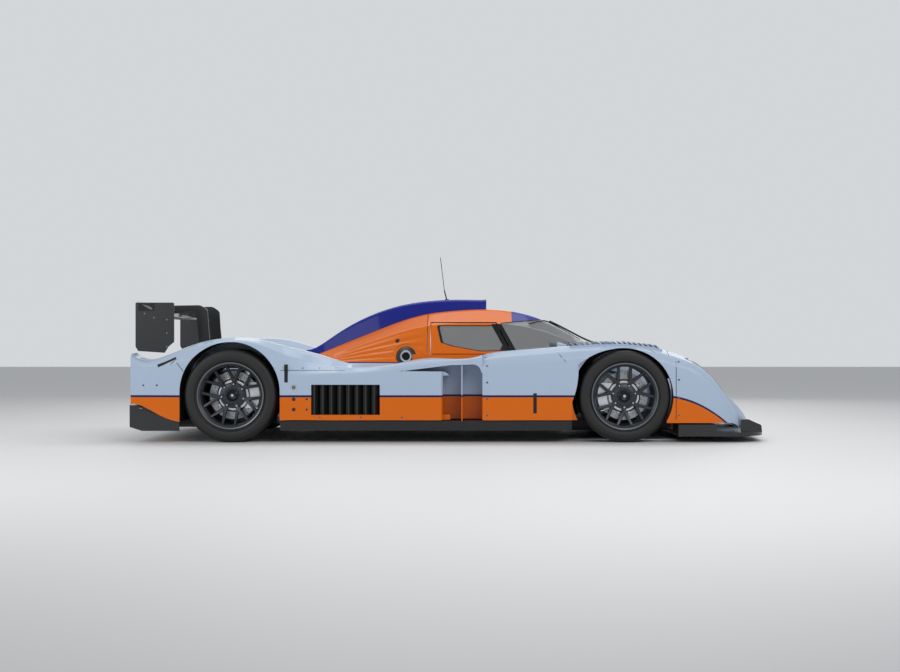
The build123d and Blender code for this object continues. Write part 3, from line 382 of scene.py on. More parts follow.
def joinShapes(name, shapes, finish, body, smooth=35, bevel=0.0):
    # one mesh out of many shapes, with one finish or a list of them
    points, faces = [], []
    for shapePoints, shapeFaces in shapes:
        start = len(points)
        points += [tuple(point) for point in shapePoints]
        faces += [[i + start for i in face] for face in shapeFaces]
    mesh = bpy.data.meshes.new(name)
    mesh.from_pydata(points, [], faces)
    for material in finish if isinstance(finish, list) else [finish]:
        mesh.materials.append(material)
    obj = newObject(name, mesh)
    work = bmesh.new()
    work.from_mesh(mesh)
    bmesh.ops.remove_doubles(work, verts=work.verts, dist=1e-6)
    bmesh.ops.recalc_face_normals(work, faces=work.faces)
    if bevel:
        edges = [e for e in work.edges if e.is_manifold and e.calc_face_angle(0) > radians(30)]
        bmesh.ops.bevel(work, geom=edges, offset=bevel, segments=2, profile=0.7, affect="EDGES")
    for face in work.faces:
        face.smooth = True
    for edge in work.edges:
        edge.smooth = not (edge.is_manifold and edge.calc_face_angle(0) > radians(smooth))
    work.to_mesh(mesh)
    work.free()
    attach(obj, body)
    return obj


def dress(name, shapes, finish, smooth=35, bevel=0.0):
    joinShapes(name, shapes, finish, "chassis", smooth, bevel)


def dressBoth(name, shapes, finish, smooth=35):
    dress(name, shapes + [mirrored(shape) for shape in shapes], finish, smooth)


def prismShape(outline, place):
    # outline: flat points; place(u, v, end) gives the point in space at either end, 0 or 1
    return [place(u, v, end) for end in (0, 1) for u, v in outline], loftFaces(len(outline), 2)


def boxShape(low, high):
    outline = [(low[0], low[1]), (high[0], low[1]), (high[0], high[1]), (low[0], high[1])]
    return prismShape(outline, lambda x, y, end: (x, y, high[2] if end else low[2]))


def turnedShape(profile, centre, steps=96):
    # profile: a closed run of (radius, y) round an axis along Y through centre
    points = [aroundY(centre, radius, angle, y) for angle in evenAngles(steps) for radius, y in profile]
    return points, loftFaces(len(profile), steps, True)


def discShape(centre, normal, radius, height, steps=24, dome=0.0):
    turn = Vector(normal).to_track_quat("Z", "Y")
    rings = [(radius, 0.0), (radius, height * 0.7), (radius * 0.9, height)]
    if dome:
        rings += [(radius * 0.55, height + dome * 0.7), (radius * 0.2, height + dome)]
    points = [point for r, h in rings for point in ringAt(centre, turn, r, steps, h)]
    return points, loftFaces(steps, len(rings))


def tubeShape(path, radius, steps):
    path = [Vector(place) for place in path]
    points = []
    for i, place in enumerate(path):
        ahead = path[min(i + 1, len(path) - 1)] - path[max(i - 1, 0)]
        points += ringAt(place, ahead.to_track_quat("Z", "Y"), radius, steps)
    return points, loftFaces(steps, len(path))


def mirrored(shape):
    points, faces = shape
    return [(p[0], -p[1], p[2]) for p in points], [list(reversed(face)) for face in faces]


# The skin of the frame, for seating small pieces on it
skinNames = ["front_fenders", "sidepods", "rear_fenders", "engine_cover", "roof", "nose", "air_scoop"]
graph = bpy.context.evaluated_depsgraph_get()
skins = {name: BVHTree.FromObject(nodes[name], graph) for name in skinNames}


def skinAt(start, direction):
    casts = [tree.ray_cast(Vector(start), Vector(direction)) for tree in skins.values()]
    hits = [cast for cast in casts if cast[0] is not None]
    if not hits:
        return None
    place, normal, _, _ = min(hits, key=lambda hit: hit[3])
    return place, normal if normal.dot(Vector(direction)) < 0 else -normal


def fromSide(x, z):
    return skinAt((x, -2.0, z), (0, 1, 0))


def fromAbove(x, y):
    return skinAt((x, y, 2.0), (0, 0, -1))


def ribbonRuns(hits, width, lift=0.0004, jump=0.05):
    # strips on the skin, broken where the skin ends or steps
    runs, run = [], []
    for hit in hits:
        if run and (hit is None or (hit[0] - run[-1][0]).length > jump):
            runs.append(run)
            run = []
        if hit is not None:
            run.append(hit)
    runs.append(run)
    return [ribbonShape(r, width, lift) for r in runs if len(r) > 1]


def ribbonShape(hits, width, lift, depth=0.0012):
    # a thin strip on the skin along (place, normal) pairs
    points = []
    for i, (place, normal) in enumerate(hits):
        ahead = hits[min(i + 1, len(hits) - 1)][0] - hits[max(i - 1, 0)][0]
        across = ahead.cross(normal).normalized() * width / 2
        for side, rise in ((-1, lift), (1, lift), (1, -depth), (-1, -depth)):
            points.append(place + across * side + normal * rise)
    return points, loftFaces(4, len(hits))


def between(points, step):
    # evenly spaced flat points along straight runs
    run = []
    for (a, b), (c, d) in zip(points, points[1:]):
        count = max(1, round(hypot(c - a, d - b) / step))
        run += [(a + (c - a) * i / count, b + (d - b) * i / count) for i in range(count)]
    return run + [points[-1]]


# Wheels: smooth slick tyres on rims whose seven arms each fork in two
wheels = {
    "rimRadius": 0.228, "flangeRadius": 0.245, "lipDepth": 0.030,
    "arms": 7, "armRoot": 0.070, "armTip": 0.220,
    "windowHalf": 0.0449,  # half the width of the straight-sided window between two arms
    "beamSteps": 11, "beamWidth": (0.030, 0.021), "beamDepth": (0.034, 0.022),
    # section of a beam, as shares of its width and depth, with chamfered front edges
    "beamSection": ((-0.38, 0.0), (0.38, 0.0), (0.5, 0.25), (0.5, 1.0), (-0.5, 1.0), (-0.5, 0.25)),
    "nutRadius": 0.042, "teeth": 12, "teethRadius": 0.052, "boltRadius": 0.083,
}
wheelKinds = {
    "front": {"radius": car["frontTyreRadius"], "half": 0.165, "rimHalf": 0.159, "dish": 0.062, "start": 90},
    "rear": {"radius": car["rearTyreRadius"], "half": 0.1825, "rimHalf": 0.176, "dish": 0.105, "start": 111},
}
brake = {
    "faceDepth": 0.022,  # from the box of the CAD disc to the disc's outer face
    "radii": (0.118, 0.178), "thickness": 0.032,
    "bobbins": 10, "bobbinRadius": 0.126, "holeRings": (0.134, 0.148, 0.162), "holes": 18,
}


def arcPoints(centre, radii, first, last, count):
    # points round an ellipse from angle first to last, in degrees
    points = []
    for i in range(count):
        angle = radians(first + (last - first) * i / (count - 1))
        points.append((centre[0] + radii[0] * sin(angle), centre[1] + radii[1] * cos(angle)))
    return points


def tyreProfile(kind):
    r, half, bead = kind["radius"], kind["half"], kind["rimHalf"] - 0.009
    flange = wheels["flangeRadius"]
    shoulder = arcPoints((r - 0.036, half - 0.040), (0.036, 0.038), 90, 0, 9)
    wall = [(r - 0.050, half - 0.0012), (r - 0.066, half - 0.0006)]
    groove = [(r - 0.072, half - 0.0035), (r - 0.078, half - 0.004)]
    foot = [(flange + 0.016, bead + 0.006), (flange + 0.012, bead + 0.0065), (flange + 0.003, bead)]
    seat = [(wheels["rimRadius"] + 0.0004, bead - 0.008)]
    rightHalf = shoulder + wall + groove + foot + seat
    return rightHalf + [(radius, -y) for radius, y in reversed(rightHalf)]


def rimProfile(kind):
    r, f, half = wheels["rimRadius"], wheels["flangeRadius"], kind["rimHalf"]
    outer = [(f, -half), (f, -half + 0.007), (r, -half + 0.016)]
    drop = [(r, -half + 0.030), (r - 0.006, -half + 0.045), (r - 0.006, half - 0.05), (r, half - 0.035)]
    inner = [(r, half - 0.016), (f, half - 0.007), (f, half), (r - 0.010, half)]
    back = [(r - 0.013, half - 0.02), (r - 0.013, -half + 0.035)]
    lip = [(r - 0.008, -half + 0.014), (f - 0.010, -half + 0.002)]
    return outer + drop + inner + back + lip


def webPlace(kind, radius):
    # outward face of the arms at a radius: flat at the hub and rising to the lip
    root, tip = wheels["armRoot"], wheels["armTip"]
    along = max(0.0, min(1.0, (radius - root) / (tip - root)))
    hub = kind["dish"] - kind["rimHalf"]
    lip = wheels["lipDepth"] - kind["rimHalf"]
    return hub + (lip - hub) * along**1.6


def beamShape(wheel, angle, hand):
    # one of the two beams of a forked arm: hand says to which side it leaves the arm's middle
    points = []
    for i in range(wheels["beamSteps"]):
        t = i / (wheels["beamSteps"] - 1)
        radius = wheels["armRoot"] + (wheels["armTip"] - wheels["armRoot"]) * t
        parted = pi / wheels["arms"] - asin(min(1.0, wheels["windowHalf"] / radius))
        bend = angle + hand * max(0.0, parted)
        width, depth = (a * (1 - t) + b * t for a, b in (wheels["beamWidth"], wheels["beamDepth"]))
        front = webPlace(wheel.kind, radius)
        for side, back in wheels["beamSection"]:
            x, y, z = aroundY(wheel.centre, radius, bend, wheel.sign * (front + back * depth))
            across = side * width
            points.append((x - across * sin(bend), y, z + across * cos(bend)))
    return points, loftFaces(len(wheels["beamSection"]), wheels["beamSteps"])


def wheelAt(end, side):
    kind = wheelKinds[end]
    sign = 1 if side == "right" else -1
    armTurn = 360 / wheels["arms"]
    return SimpleNamespace(
        end=end, side=side, kind=kind, sign=sign, body=f"wheel_{end}_{side}",
        centre=(car[end + "Axle"], -sign * car[end + "WheelY"], kind["radius"]),
        hub=webPlace(kind, 0),
        armAngles=[radians(kind["start"] + (arm + 0.5) * armTurn) for arm in range(wheels["arms"])],
    )


def turnedOn(wheel, profile, steps):
    return turnedShape([(radius, wheel.sign * y) for radius, y in profile], wheel.centre, steps)


def discsOn(wheel, radius, y, angles, size, height, steps):
    # a ring of small discs that look outward
    sign = wheel.sign
    places = [aroundY(wheel.centre, radius, angle, sign * y) for angle in angles]
    return [discShape(place, (0, -sign, 0), size, height, steps) for place in places]


def addToWheel(wheel, part, shapes, finish, smooth=35, bevel=0.0):
    return joinShapes(f"{wheel.end}_{part}_{wheel.side}", shapes, finish, wheel.body, smooth, bevel)


def nodeOf(wheel, part):
    return f"{part}_{wheel.end}_{wheel.side}"


def makeTyre(wheel):
    kind = wheel.kind
    tyre = addToWheel(wheel, "tyre", [turnedOn(wheel, tyreProfile(kind), 128)], [slickRubber, wallRubber], 40)
    for face in tyre.data.polygons:
        if abs(face.center[1] - wheel.centre[1]) > kind["half"] - 0.030:
            face.material_index = 1
    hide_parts(nodeOf(wheel, "tyre"))


def makeRim(wheel):
    centre, hub = wheel.centre, wheel.hub
    barrelShape = turnedOn(wheel, rimProfile(wheel.kind), 128)
    barrel = addToWheel(wheel, "rim_barrel", [barrelShape], [rimMetal, lipMetal], 25)
    for face in barrel.data.polygons:
        away = hypot(face.center[0] - centre[0], face.center[2] - centre[2])
        if away > wheels["flangeRadius"] - 0.012:
            face.material_index = 1
    shapes = [beamShape(wheel, angle, hand) for angle in wheel.armAngles for hand in (-1, 1)]
    hubProfile = [
        (0.036, hub - 0.002), (0.066, hub - 0.002), (0.074, hub + 0.003), (0.092, hub + 0.004),
        (0.096, hub + 0.012), (0.096, hub + 0.034), (0.036, hub + 0.034),
    ]
    shapes.append(turnedOn(wheel, hubProfile, 56))
    arms = addToWheel(wheel, "rim_arms", shapes, rimMetal, 30, 0.0015)
    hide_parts(nodeOf(wheel, "rim"))


def makeNut(wheel):
    # centre nut with a ring of drive teeth, a bright retaining pin and a bolt in each arm's root
    nut, hub = wheels["nutRadius"], wheel.hub
    nutProfile = [(0.012, hub - 0.014), (nut - 0.012, hub - 0.020), (nut, hub - 0.012), (nut, hub)]
    nutProfile.append((0.012, hub))
    teeth = discsOn(wheel, wheels["teethRadius"], hub - 0.001, evenAngles(wheels["teeth"]), 0.0045, 0.006, 12)
    addToWheel(wheel, "wheel_nut", [turnedOn(wheel, nutProfile, 48)] + teeth, nutMetal)
    pin = discsOn(wheel, 0, hub - 0.006, [0], 0.012, 0.012, 20)
    bolts = discsOn(wheel, wheels["boltRadius"], hub, wheel.armAngles, 0.006, 0.003, 14)
    addToWheel(wheel, "wheel_pins", pin + bolts, brightMetal)


def makeBrake(wheel):
    # a disc with black discs of painted shade for its drilled holes, and the bright bell seen between the
    # arms
    low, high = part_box(nodeOf(wheel, "brake_disc"))
    outerSide = min(wheel.sign * (y - wheel.centre[1]) for y in (low[1], high[1]))
    face = outerSide + brake["faceDepth"]
    (inner, outer), back = brake["radii"], face + brake["thickness"]
    discProfile = [(inner, face), (outer, face), (outer, back), (inner, back)]
    disc = addToWheel(wheel, "brake_disc", [turnedOn(wheel, discProfile, 96)], discMetal)
    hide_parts(nodeOf(wheel, "brake_disc"))
    bell = [(0.046, face - 0.020), (0.112, face - 0.018), (0.124, face - 0.006)]
    bell += [(0.124, face + 0.004), (0.046, face + 0.004)]
    shaft = [(0.004, face), (0.0345, face), (0.0345, face + 0.102), (0.004, face + 0.102)]
    bobbins = discsOn(wheel, brake["bobbinRadius"], face, evenAngles(brake["bobbins"]), 0.009, 0.007, 16)
    turned = [turnedOn(wheel, bell, 72), turnedOn(wheel, shaft, 32)]
    addToWheel(wheel, "disc_bell", turned + bobbins, bellMetal)
    # Painted shade: black discs on the disc's face that stand in for the drilled holes
    holes = []
    for ring in brake["holeRings"]:
        angles = evenAngles(brake["holes"], 33 * ring % 1)
        holes += discsOn(wheel, ring, face + 0.0002, angles, 0.0035, 0.0004, 10)
    addToWheel(wheel, "disc_hole_shade", holes, gapBlack)


for end in ("front", "rear"):
    for side in ("right", "left"):
        wheel = wheelAt(end, side)
        makeTyre(wheel)
        makeRim(wheel)
        makeNut(wheel)
        makeBrake(wheel)
print("wheels made")

# Panel joints: thin shadow lines on the skin, as (x, z) seen from the side and (x, y) from above
seam = {"width": 0.0045, "step": 0.02}
sideJoints = {
    "louvre panel": [(0.757, 0.699), (0.800, 0.640), (0.844, 0.590)],
    "nose joint": [(1.648, 0.632), (1.648, 0.170)],
    "rear deck joint": [(-1.236, 0.528), (-0.77, 0.528)],
    "tail joint": [(-2.040, 0.572), (-2.005, 0.600), (-1.945, 0.520)],
    "pod seam": [(-0.36, 0.525), (-0.33, 0.523)],
}
topJoints = {
    "rear deck": [(-1.32, -0.50), (-1.32, 0.0)],
    "pod shoulder": [(0.236, -0.52), (0.236, -0.97)],
    "nose top": [(1.40, -0.29), (1.40, 0.0)],
    "fender nose": [(1.60, -0.62), (1.60, -0.96)],
}
joints = []
for look, runs in ((fromSide, sideJoints), (fromAbove, topJoints)):
    for run in runs.values():
        joints += ribbonRuns([look(*place) for place in between(run, seam["step"])], seam["width"])
dressBoth("panel_joints", joints, gapBlack)

# Quarter-turn fasteners along the panel edges, in rows of first place, step and count
fastener = {"radius": 0.008, "height": 0.0006}
sideRows = [
    ((-1.20, 0.545), (0.12, 0), 4),
    ((1.668, 0.20), (0, 0.13), 4),
    ((0.27, 0.20), (0, 0.12), 4),
    ((-0.95, 0.185), (0.3, 0), 3),
    ((-2.24, 0.42), (0.1, 0), 2),
]
topRows = [((-1.30, -0.46), (0, 0.15), 4), ((0.26, -0.60), (0, -0.11), 4)]
fasteners = []
for look, rows in ((fromSide, sideRows), (fromAbove, topRows)):
    for (a, b), (stepA, stepB), count in rows:
        hits = [look(a + stepA * i, b + stepB * i) for i in range(count)]
        fasteners += [discShape(*hit, fastener["radius"], fastener["height"], 20) for hit in hits if hit]
dressBoth("quarter_turn_fasteners", fasteners, lipMetal)

# Black latches in slots on the flanks, as (x from, x to, z from, z to)
latches = {
    "pod latch": (0.606, 0.632, 0.215, 0.362),
    "deck latch": (-1.208, -1.182, 0.440, 0.572),
}
latch = {"half": 0.006, "foot": 0.010, "head": 0.030, "boltDrop": 0.018, "boltRadius": 0.008}
latchShapes, slotShapes = [], []
for x0, x1, z0, z1 in latches.values():
    middle = (x0 + x1) / 2
    y = fromSide(middle, (z0 + z1) / 2)[0][1]
    slotShapes.append(boxShape((x0, y - 0.0003, z0), (x1, y + 0.004, z1)))
    low = (middle - latch["half"], y - 0.0007, z0 + latch["foot"])
    high = (middle + latch["half"], y + 0.002, z1 - latch["head"])
    latchShapes.append(boxShape(low, high))
    bolt = (middle, y - 0.0001, z1 - latch["boltDrop"])
    latchShapes.append(discShape(bolt, (0, -1, 0), latch["boltRadius"], 0.0006, 18))
dressBoth("latch_slots", slotShapes, gapBlack)
dressBoth("latch_handles", latchShapes, armSteel, 30)

# Plugs ahead of the rear wheel, as (x, radius), at two heights
plugs = [
    discShape(*fromSide(x, z), radius, 0.0006, 24)
    for x, radius in ((-1.139, 0.014), (-1.045, 0.008))
    for z in (0.318, 0.243)
]
dressBoth("flank_plugs", plugs, rimMetal)

# Slanted slot in the tail of each rear fender, drawn as a black strip of painted shade
tailSlot = {"run": [(-2.133, 0.560), (-2.085, 0.580), (-2.000, 0.618)], "width": 0.020, "lift": 0.0008}
slotHits = [fromSide(x, z) for x, z in between(tailSlot["run"], 0.01)]
slots = ribbonRuns(slotHits, tailSlot["width"], tailSlot["lift"])
dressBoth("tail_slot_shade", slots, gapBlack)

# Rear arches: an inner wall above the deck, and a bowed roof from it out to the fender's shoulder
rearArch = {
    "wallRadius": 0.366, "wallY": 0.572, "sheet": 0.004, "foot": 0.52,
    "roofRadii": (0.3625, 0.3655), "roofY": 0.573, "reach": 0.150,
    "roofHalf": 67.5,  # degrees to either side of upright
}


def rearArcPoints(radius, half, count):
    centre = (car["rearAxle"], car["rearArchZ"])
    return arcPoints(centre, (radius, radius), half, -half, count)


rim = [(x, z) for x, z in rearArcPoints(rearArch["wallRadius"], 90, 41) if z > rearArch["foot"]]
wall = prismShape(rim, lambda x, z, end: (x, -rearArch["wallY"] - rearArch["sheet"] * end, z))
innerArc, outerArc = (rearArcPoints(radius, rearArch["roofHalf"], 37) for radius in rearArch["roofRadii"])
shell = outerArc + innerArc[::-1]
roof = prismShape(shell, lambda x, z, end: (x, -rearArch["roofY"] - rearArch["reach"] * end, z))
dressBoth("rear_arch_walls", [wall, roof], sidePaint)

# Brow over each front wheel: the fender's shoulder carried down to the edge of the arch
brow = {
    "from": 1.075, "length": 0.465, "columns": 46, "rows": 12,
    # height of the fender's crown along x, and half width down from the crown
    "crown": [
        (1.050, 0.7235), (1.170, 0.7275), (1.278, 0.7275), (1.390, 0.7195), (1.500, 0.7035), (1.560, 0.688),
    ],
    "profile": [
        (0.018, 0.878), (0.025, 0.905), (0.032, 0.930), (0.040, 0.9525), (0.055, 0.969), (0.070, 0.978),
        (0.085, 0.986), (0.100, 0.992), (0.115, 0.9945), (0.135, 0.995),
    ],
    "edgeRadius": 0.352,  # the arch's edge ahead of the axle
    "edgeTop": 0.691, "edgeFall": (0.80, 2.0),  # and behind it, where it falls away slowly
    "wellRadius": 0.388, "wellTop": 0.692, "lap": 0.008, "inset": 0.0006, "sheet": 0.004,
}


def along(table, value):
    # straight-line reading of a table of (place, value) rows
    for (a, u), (b, v) in zip(table, table[1:]):
        if value <= b:
            return u + (v - u) * (value - a) / (b - a)
    return table[-1][1]


def archEdge(ahead):
    if ahead > 0:
        return car["frontTyreRadius"] + sqrt(brow["edgeRadius"] ** 2 - ahead**2)
    square, fourth = brow["edgeFall"]
    return brow["edgeTop"] - square * ahead**2 - fourth * ahead**4


def browShape():
    points = []
    columns, rows = brow["columns"], brow["rows"]
    for i in range(columns + 1):
        x = brow["from"] + brow["length"] * i / columns
        ahead = x - car["frontAxle"]
        low = archEdge(ahead)
        well = car["frontTyreRadius"] + sqrt(brow["wellRadius"] ** 2 - ahead**2)
        high = min(brow["wellTop"], well) + brow["lap"]
        crown = along(brow["crown"], x)
        heights = [low + (high - low) * j / rows for j in range(rows + 1)]
        run = [(along(brow["profile"], crown - z) - brow["inset"], z) for z in heights]
        run += [(y - brow["sheet"], z - 0.002) for y, z in reversed(run)]
        points += [(x, -y, z) for y, z in run]
    return points, loftFaces(2 * (rows + 1), columns + 1)


dressBoth("arch_brows", [browShape()], sidePaint, 50)

# Liner round each front wheel: a bowed sheet off the fender and the wall at its inner edge
liner = {
    "outer": 0.400, "inner": 0.300, "wallY": 0.551, "fenderY": 0.640, "from": 18, "to": 205,
    "sheet": 0.003, "hoodSheet": 0.006,
}


def sectorOutline(inner, outer, steps=36):
    turn = liner["to"] - liner["from"]
    angles = [radians(liner["from"] + turn * i / steps) for i in range(steps + 1)]
    ring = [(outer * cos(t), outer * sin(t)) for t in angles]
    ring += [(inner * cos(t), inner * sin(t)) for t in reversed(angles)]
    axleZ = car["frontTyreRadius"]
    return [(car["frontAxle"] + x, axleZ + min(z, brow["wellTop"] - axleZ)) for x, z in ring]


wallOutline = sectorOutline(liner["inner"], liner["outer"])
hoodOutline = sectorOutline(liner["outer"] - liner["hoodSheet"], liner["outer"])
reach = liner["fenderY"] - liner["wallY"]
wall = prismShape(wallOutline, lambda x, z, end: (x, -liner["wallY"] + liner["sheet"] * end, z))
hood = prismShape(hoodOutline, lambda x, z, end: (x, -liner["wallY"] - reach * end, z))
dressBoth("wheel_liners", [wall, hood], dryCarbon)
print("flanks dressed")

# Engine cover flank: long soft flutes that fade towards the tail
flutes = {
    "front": -0.196, "rear": -1.02, "top": 0.838, "fall": (0.235, 0.02), "rise": 0.007, "count": 4,
    "stepsX": 90, "stepsZ": 56, "clearRadius": 0.084, "sunk": 0.004, "margin": 0.010,
}
cover = skins["engine_cover"]


def fluteShape(clear):
    # clear: how far round the filler the flutes stay away, or 0 on the side without one
    points, faces = [], []
    nx, nz = flutes["stepsX"], flutes["stepsZ"]
    bent, straight = flutes["fall"]
    for i in range(nx + 1):
        u = i / nx
        x = flutes["front"] + (flutes["rear"] - flutes["front"]) * u
        low = car["deckZ"]
        high = flutes["top"] - bent * u**1.25 - straight * u
        for j in range(nz + 1):
            v = j / nz
            z = low + (high - low) * v
            place, normal, _, _ = cover.ray_cast(Vector((x, -1.0, z)), Vector((0, 1, 0)))
            if place is None:
                place, normal = Vector((x, -0.3, z)), Vector((0, -1, 0))
            if normal.y > 0:
                normal = -normal
            fade = sin(pi * v) ** 0.7 * (1 - u**3) * min(1.0, 0.25 + u * 8)
            ripple = 0.5 - 0.5 * cos(2 * pi * flutes["count"] * v)
            lift = 0.0004 + flutes["rise"] * ripple * fade
            if clear and fromFiller(place) < clear + flutes["margin"]:
                lift = -flutes["sunk"]
            edge = -0.003 if i in (0, nx) or j in (0, nz) else 0.0
            points.append(place + normal * (lift + edge))
    for i in range(nx):
        for j in range(nz):
            a = i * (nz + 1) + j
            corners = [a, a + 1, a + nz + 2, a + nz + 1]
            if fromFiller(sum((points[k] for k in corners), Vector()) / 4) > clear:
                faces.append(corners)
    return points, faces


fluteShapes = [fluteShape(flutes["clearRadius"]), mirrored(fluteShape(0.0))]
dress("engine_cover_flutes", fluteShapes, coverPaint, 60)
print("flutes made")

# Fuel filler: a black dish with a ribbed valve in a bright ring, and a breather above it
filler = {
    "y": -0.430, "seatRadius": 0.045, "dishRadius": 0.078, "dishSteps": 48,
    "dishFront": -0.475,  # the dish's rim stays behind this y
    "ring": [
        (0.0305, 0.0), (0.0305, -0.004), (0.034, -0.007), (0.043, -0.007), (0.0455, -0.003), (0.0455, 0.0),
    ],
    "valve": [(0.002, 0.022), (0.0295, 0.022), (0.0295, 0.030), (0.002, 0.030)],
    "ribs": 6, "ribHalf": 0.028, "breather": (-0.420, 0.746),
}
fillerCentre = (car["fillerX"], filler["y"], car["fillerZ"])
dish, dishFaces = [], []
for angle in evenAngles(filler["dishSteps"]):
    x, _, z = aroundY(fillerCentre, filler["dishRadius"], angle)
    skinPlace = cover.ray_cast(Vector((x, -1.0, z)), Vector((0, 1, 0)))[0]
    rimY = filler["y"] - 0.012 if skinPlace is None else skinPlace.y - 0.0015
    dish.append((x, max(rimY, filler["dishFront"]), z))
    dish.append(aroundY(fillerCentre, filler["seatRadius"], angle, 0.0015))
for k in range(filler["dishSteps"]):
    a, b = 2 * k, 2 * ((k + 1) % filler["dishSteps"])
    dishFaces.append([a, b, b + 1, a + 1])
dress("filler_dish", [(dish, dishFaces)], blackPlastic)
dress("filler_ring", [turnedShape(filler["ring"], fillerCentre, 64)], brightMetal)
valveShapes = [turnedShape(filler["valve"], fillerCentre, 40)]
for rib in range(filler["ribs"]):
    angle = pi * rib / filler["ribs"]
    ends = [aroundY(fillerCentre, half, angle, 0.021) for half in (-filler["ribHalf"], filler["ribHalf"])]
    valveShapes.append(tubeShape(ends, 0.002, 8))
dress("filler_valve", valveShapes, nutMetal)
breather = discShape(*fromSide(*filler["breather"]), 0.018, 0.004, 28)
dress("breather", [breather], gapBlack)

# Scoop mouth: a black box at the back of the duct behind the painted lip, painted shade standing in for the
# dark depth of the duct
ductShade = boxShape((-0.056, -0.104, 0.992), (-0.050, 0.104, 1.055))
dress("scoop_duct_painted_shade", [ductShade], gapBlack)

# Wiper: one arm from the foot of the screen with its blade lying on the glass, as (x, y, lift) at either end
wiper = {
    "arm": ((1.12, 0.02, 0.022), (0.76, -0.10, 0.016), 10), "armRadius": 0.007,
    "blade": ((1.02, 0.13, 0.006), (0.60, -0.29, 0.006), 14), "bladeRadius": 0.005,
    "footRadius": 0.018, "footHeight": 0.022, "footDrop": 0.020,
}
screen = BVHTree.FromObject(nodes["windscreen"], graph)


def onScreen(first, last, steps):
    run = []
    for i in range(steps + 1):
        x, y, lift = (a + (b - a) * i / steps for a, b in zip(first, last))
        place, normal, _, _ = screen.ray_cast(Vector((x, y, 1.6)), Vector((0, 0, -1)))
        if place is None:
            place, normal = fromAbove(x, y)
        run.append(place + normal * lift)
    return run


arm = onScreen(*wiper["arm"])
foot = arm[0] - Vector((0, 0, wiper["footDrop"]))
wiperShapes = [
    tubeShape(arm, wiper["armRadius"], 10),
    tubeShape(onScreen(*wiper["blade"]), wiper["bladeRadius"], 8),
    discShape(foot, (0.3, 0, 1), wiper["footRadius"], wiper["footHeight"]),
]
dress("wiper", wiperShapes, blackPlastic)
print("screen dressed")

# Black surround on the skin along the edges of each lamp cover
surround = {"y": (0.695, 0.862), "z": (0.225, 0.612), "width": 0.018, "lift": 0.0006}
(y0, y1), (z0, z1) = surround["y"], surround["z"]
surroundShapes = []
for run in ([(y1, z0), (y1, z1)], [(y0, z0), (y0, z1)], [(y0, z1), (y1, z1)], [(y0, z0), (y1, z0)]):
    hits = [skinAt((3.0, -y, z), (-1, 0, 0)) for y, z in between(run, 0.01)]
    surroundShapes += ribbonRuns(hits, surround["width"], surround["lift"])
dressBoth("lamp_surrounds", surroundShapes, blackPlastic)

# Headlamps: three parts at each of three places, and a row of diodes beside them
lamps = {
    "y": 0.7775,
    "fronts": [(1.970, 0.300), (1.885, 0.412), (1.800, 0.524)],
    # finish, how far ahead, radius, height, steps, dome and smooth angle
    "parts": {
        "headlamp_bezels": (brightMetal, 0, 0.046, 0.004, 40, 0, 35),
        "headlamp_bowls": (gapBlack, 0.002, 0.039, 0.003, 40, 0, 35),
        "headlamp_lenses": (lampGlass, 0.004, 0.027, 0.004, 32, 0.006, 60),
    },
    "diodes": 12, "diodeY": 0.722, "diodeRow": ((1.985, 0.275), (1.795, 0.525)),
}
for name, (finish, ahead, radius, height, steps, dome, smooth) in lamps["parts"].items():
    places = [(x + ahead, -lamps["y"], z) for x, z in lamps["fronts"]]
    shapes = [discShape(place, (1, 0, 0), radius, height, steps, dome) for place in places]
    dressBoth(name, shapes, finish, smooth)
diodes = []
for i in range(lamps["diodes"]):
    x, z = (a + (b - a) * i / (lamps["diodes"] - 1) for a, b in zip(*lamps["diodeRow"]))
    diodes.append(discShape((x, -lamps["diodeY"], z), (0.8, 0, 0.6), 0.007, 0.004, 14))
dressBoth("headlamp_diodes", diodes, whiteDiode)

# Mirror glass on the rear faces of the housings
mirrorPlate = boxShape((0.7985, -0.655, 0.674), (0.8005, -0.525, 0.726))
dressBoth("mirror_glass", [mirrorPlate], mirrorGlass)

# Rear wing: screws, a vent of painted shade with its blade of bright metal as a painted highlight, and a
# bright metal strip along the front edge as a painted highlight, on each endplate
endplate = {
    "y": 0.8018, "ventX": (-2.318, -2.196), "ventZ": (0.966, 1.022),
    "screws": [(-2.105, 0.700), (-2.105, 0.800), (-2.105, 0.900), (-2.20, 0.915), (-2.27, 0.945)],
    "blade": (-2.252, 0.998), "bladeHalf": 0.040, "bladeThick": 0.007, "bladeDrop": 0.018,
    "edgeHighlightX": (-2.0540, -2.0522), "edgeHighlightZ": (0.745, 1.020),
}
y, (x0, x1), (z0, z1) = endplate["y"], endplate["ventX"], endplate["ventZ"]
# The vent is a black box on the endplate: painted shade standing in for the opening
ventShade = boxShape((x0, -y - 0.0006, z0), (x1, -y + 0.0002, z1))
dressBoth("endplate_vent_shade", [ventShade], gapBlack)
# The blade is a thin bright metal shape lying on the vent: a painted highlight
highlightOutline = []
for t in evenAngles(24):
    thick = endplate["bladeThick"] * sin(t) * (1.2 + cos(t))
    x = endplate["blade"][0] + endplate["bladeHalf"] * cos(t)
    highlightOutline.append((x, endplate["blade"][1] + thick - endplate["bladeDrop"] * cos(t)))
blade = prismShape(highlightOutline, lambda x, z, end: (x, -endplate["y"] - 0.0012 * (1 - end), z))
dressBoth("endplate_vent_highlights", [blade], lipMetal, 60)
# Bright metal strip along each endplate's front edge: a painted highlight
(x0, x1), (z0, z1) = endplate["edgeHighlightX"], endplate["edgeHighlightZ"]
edgeHighlight = boxShape((x0, -y, z0), (x1, -y + 0.010, z1))
dressBoth("endplate_edge_highlights", [edgeHighlight], lipMetal)
screws = [discShape((x, 0.0003 - y, z), (0, -1, 0), 0.006, 0.0012, 18) for x, z in endplate["screws"]]
dressBoth("endplate_screws", screws, lipMetal)

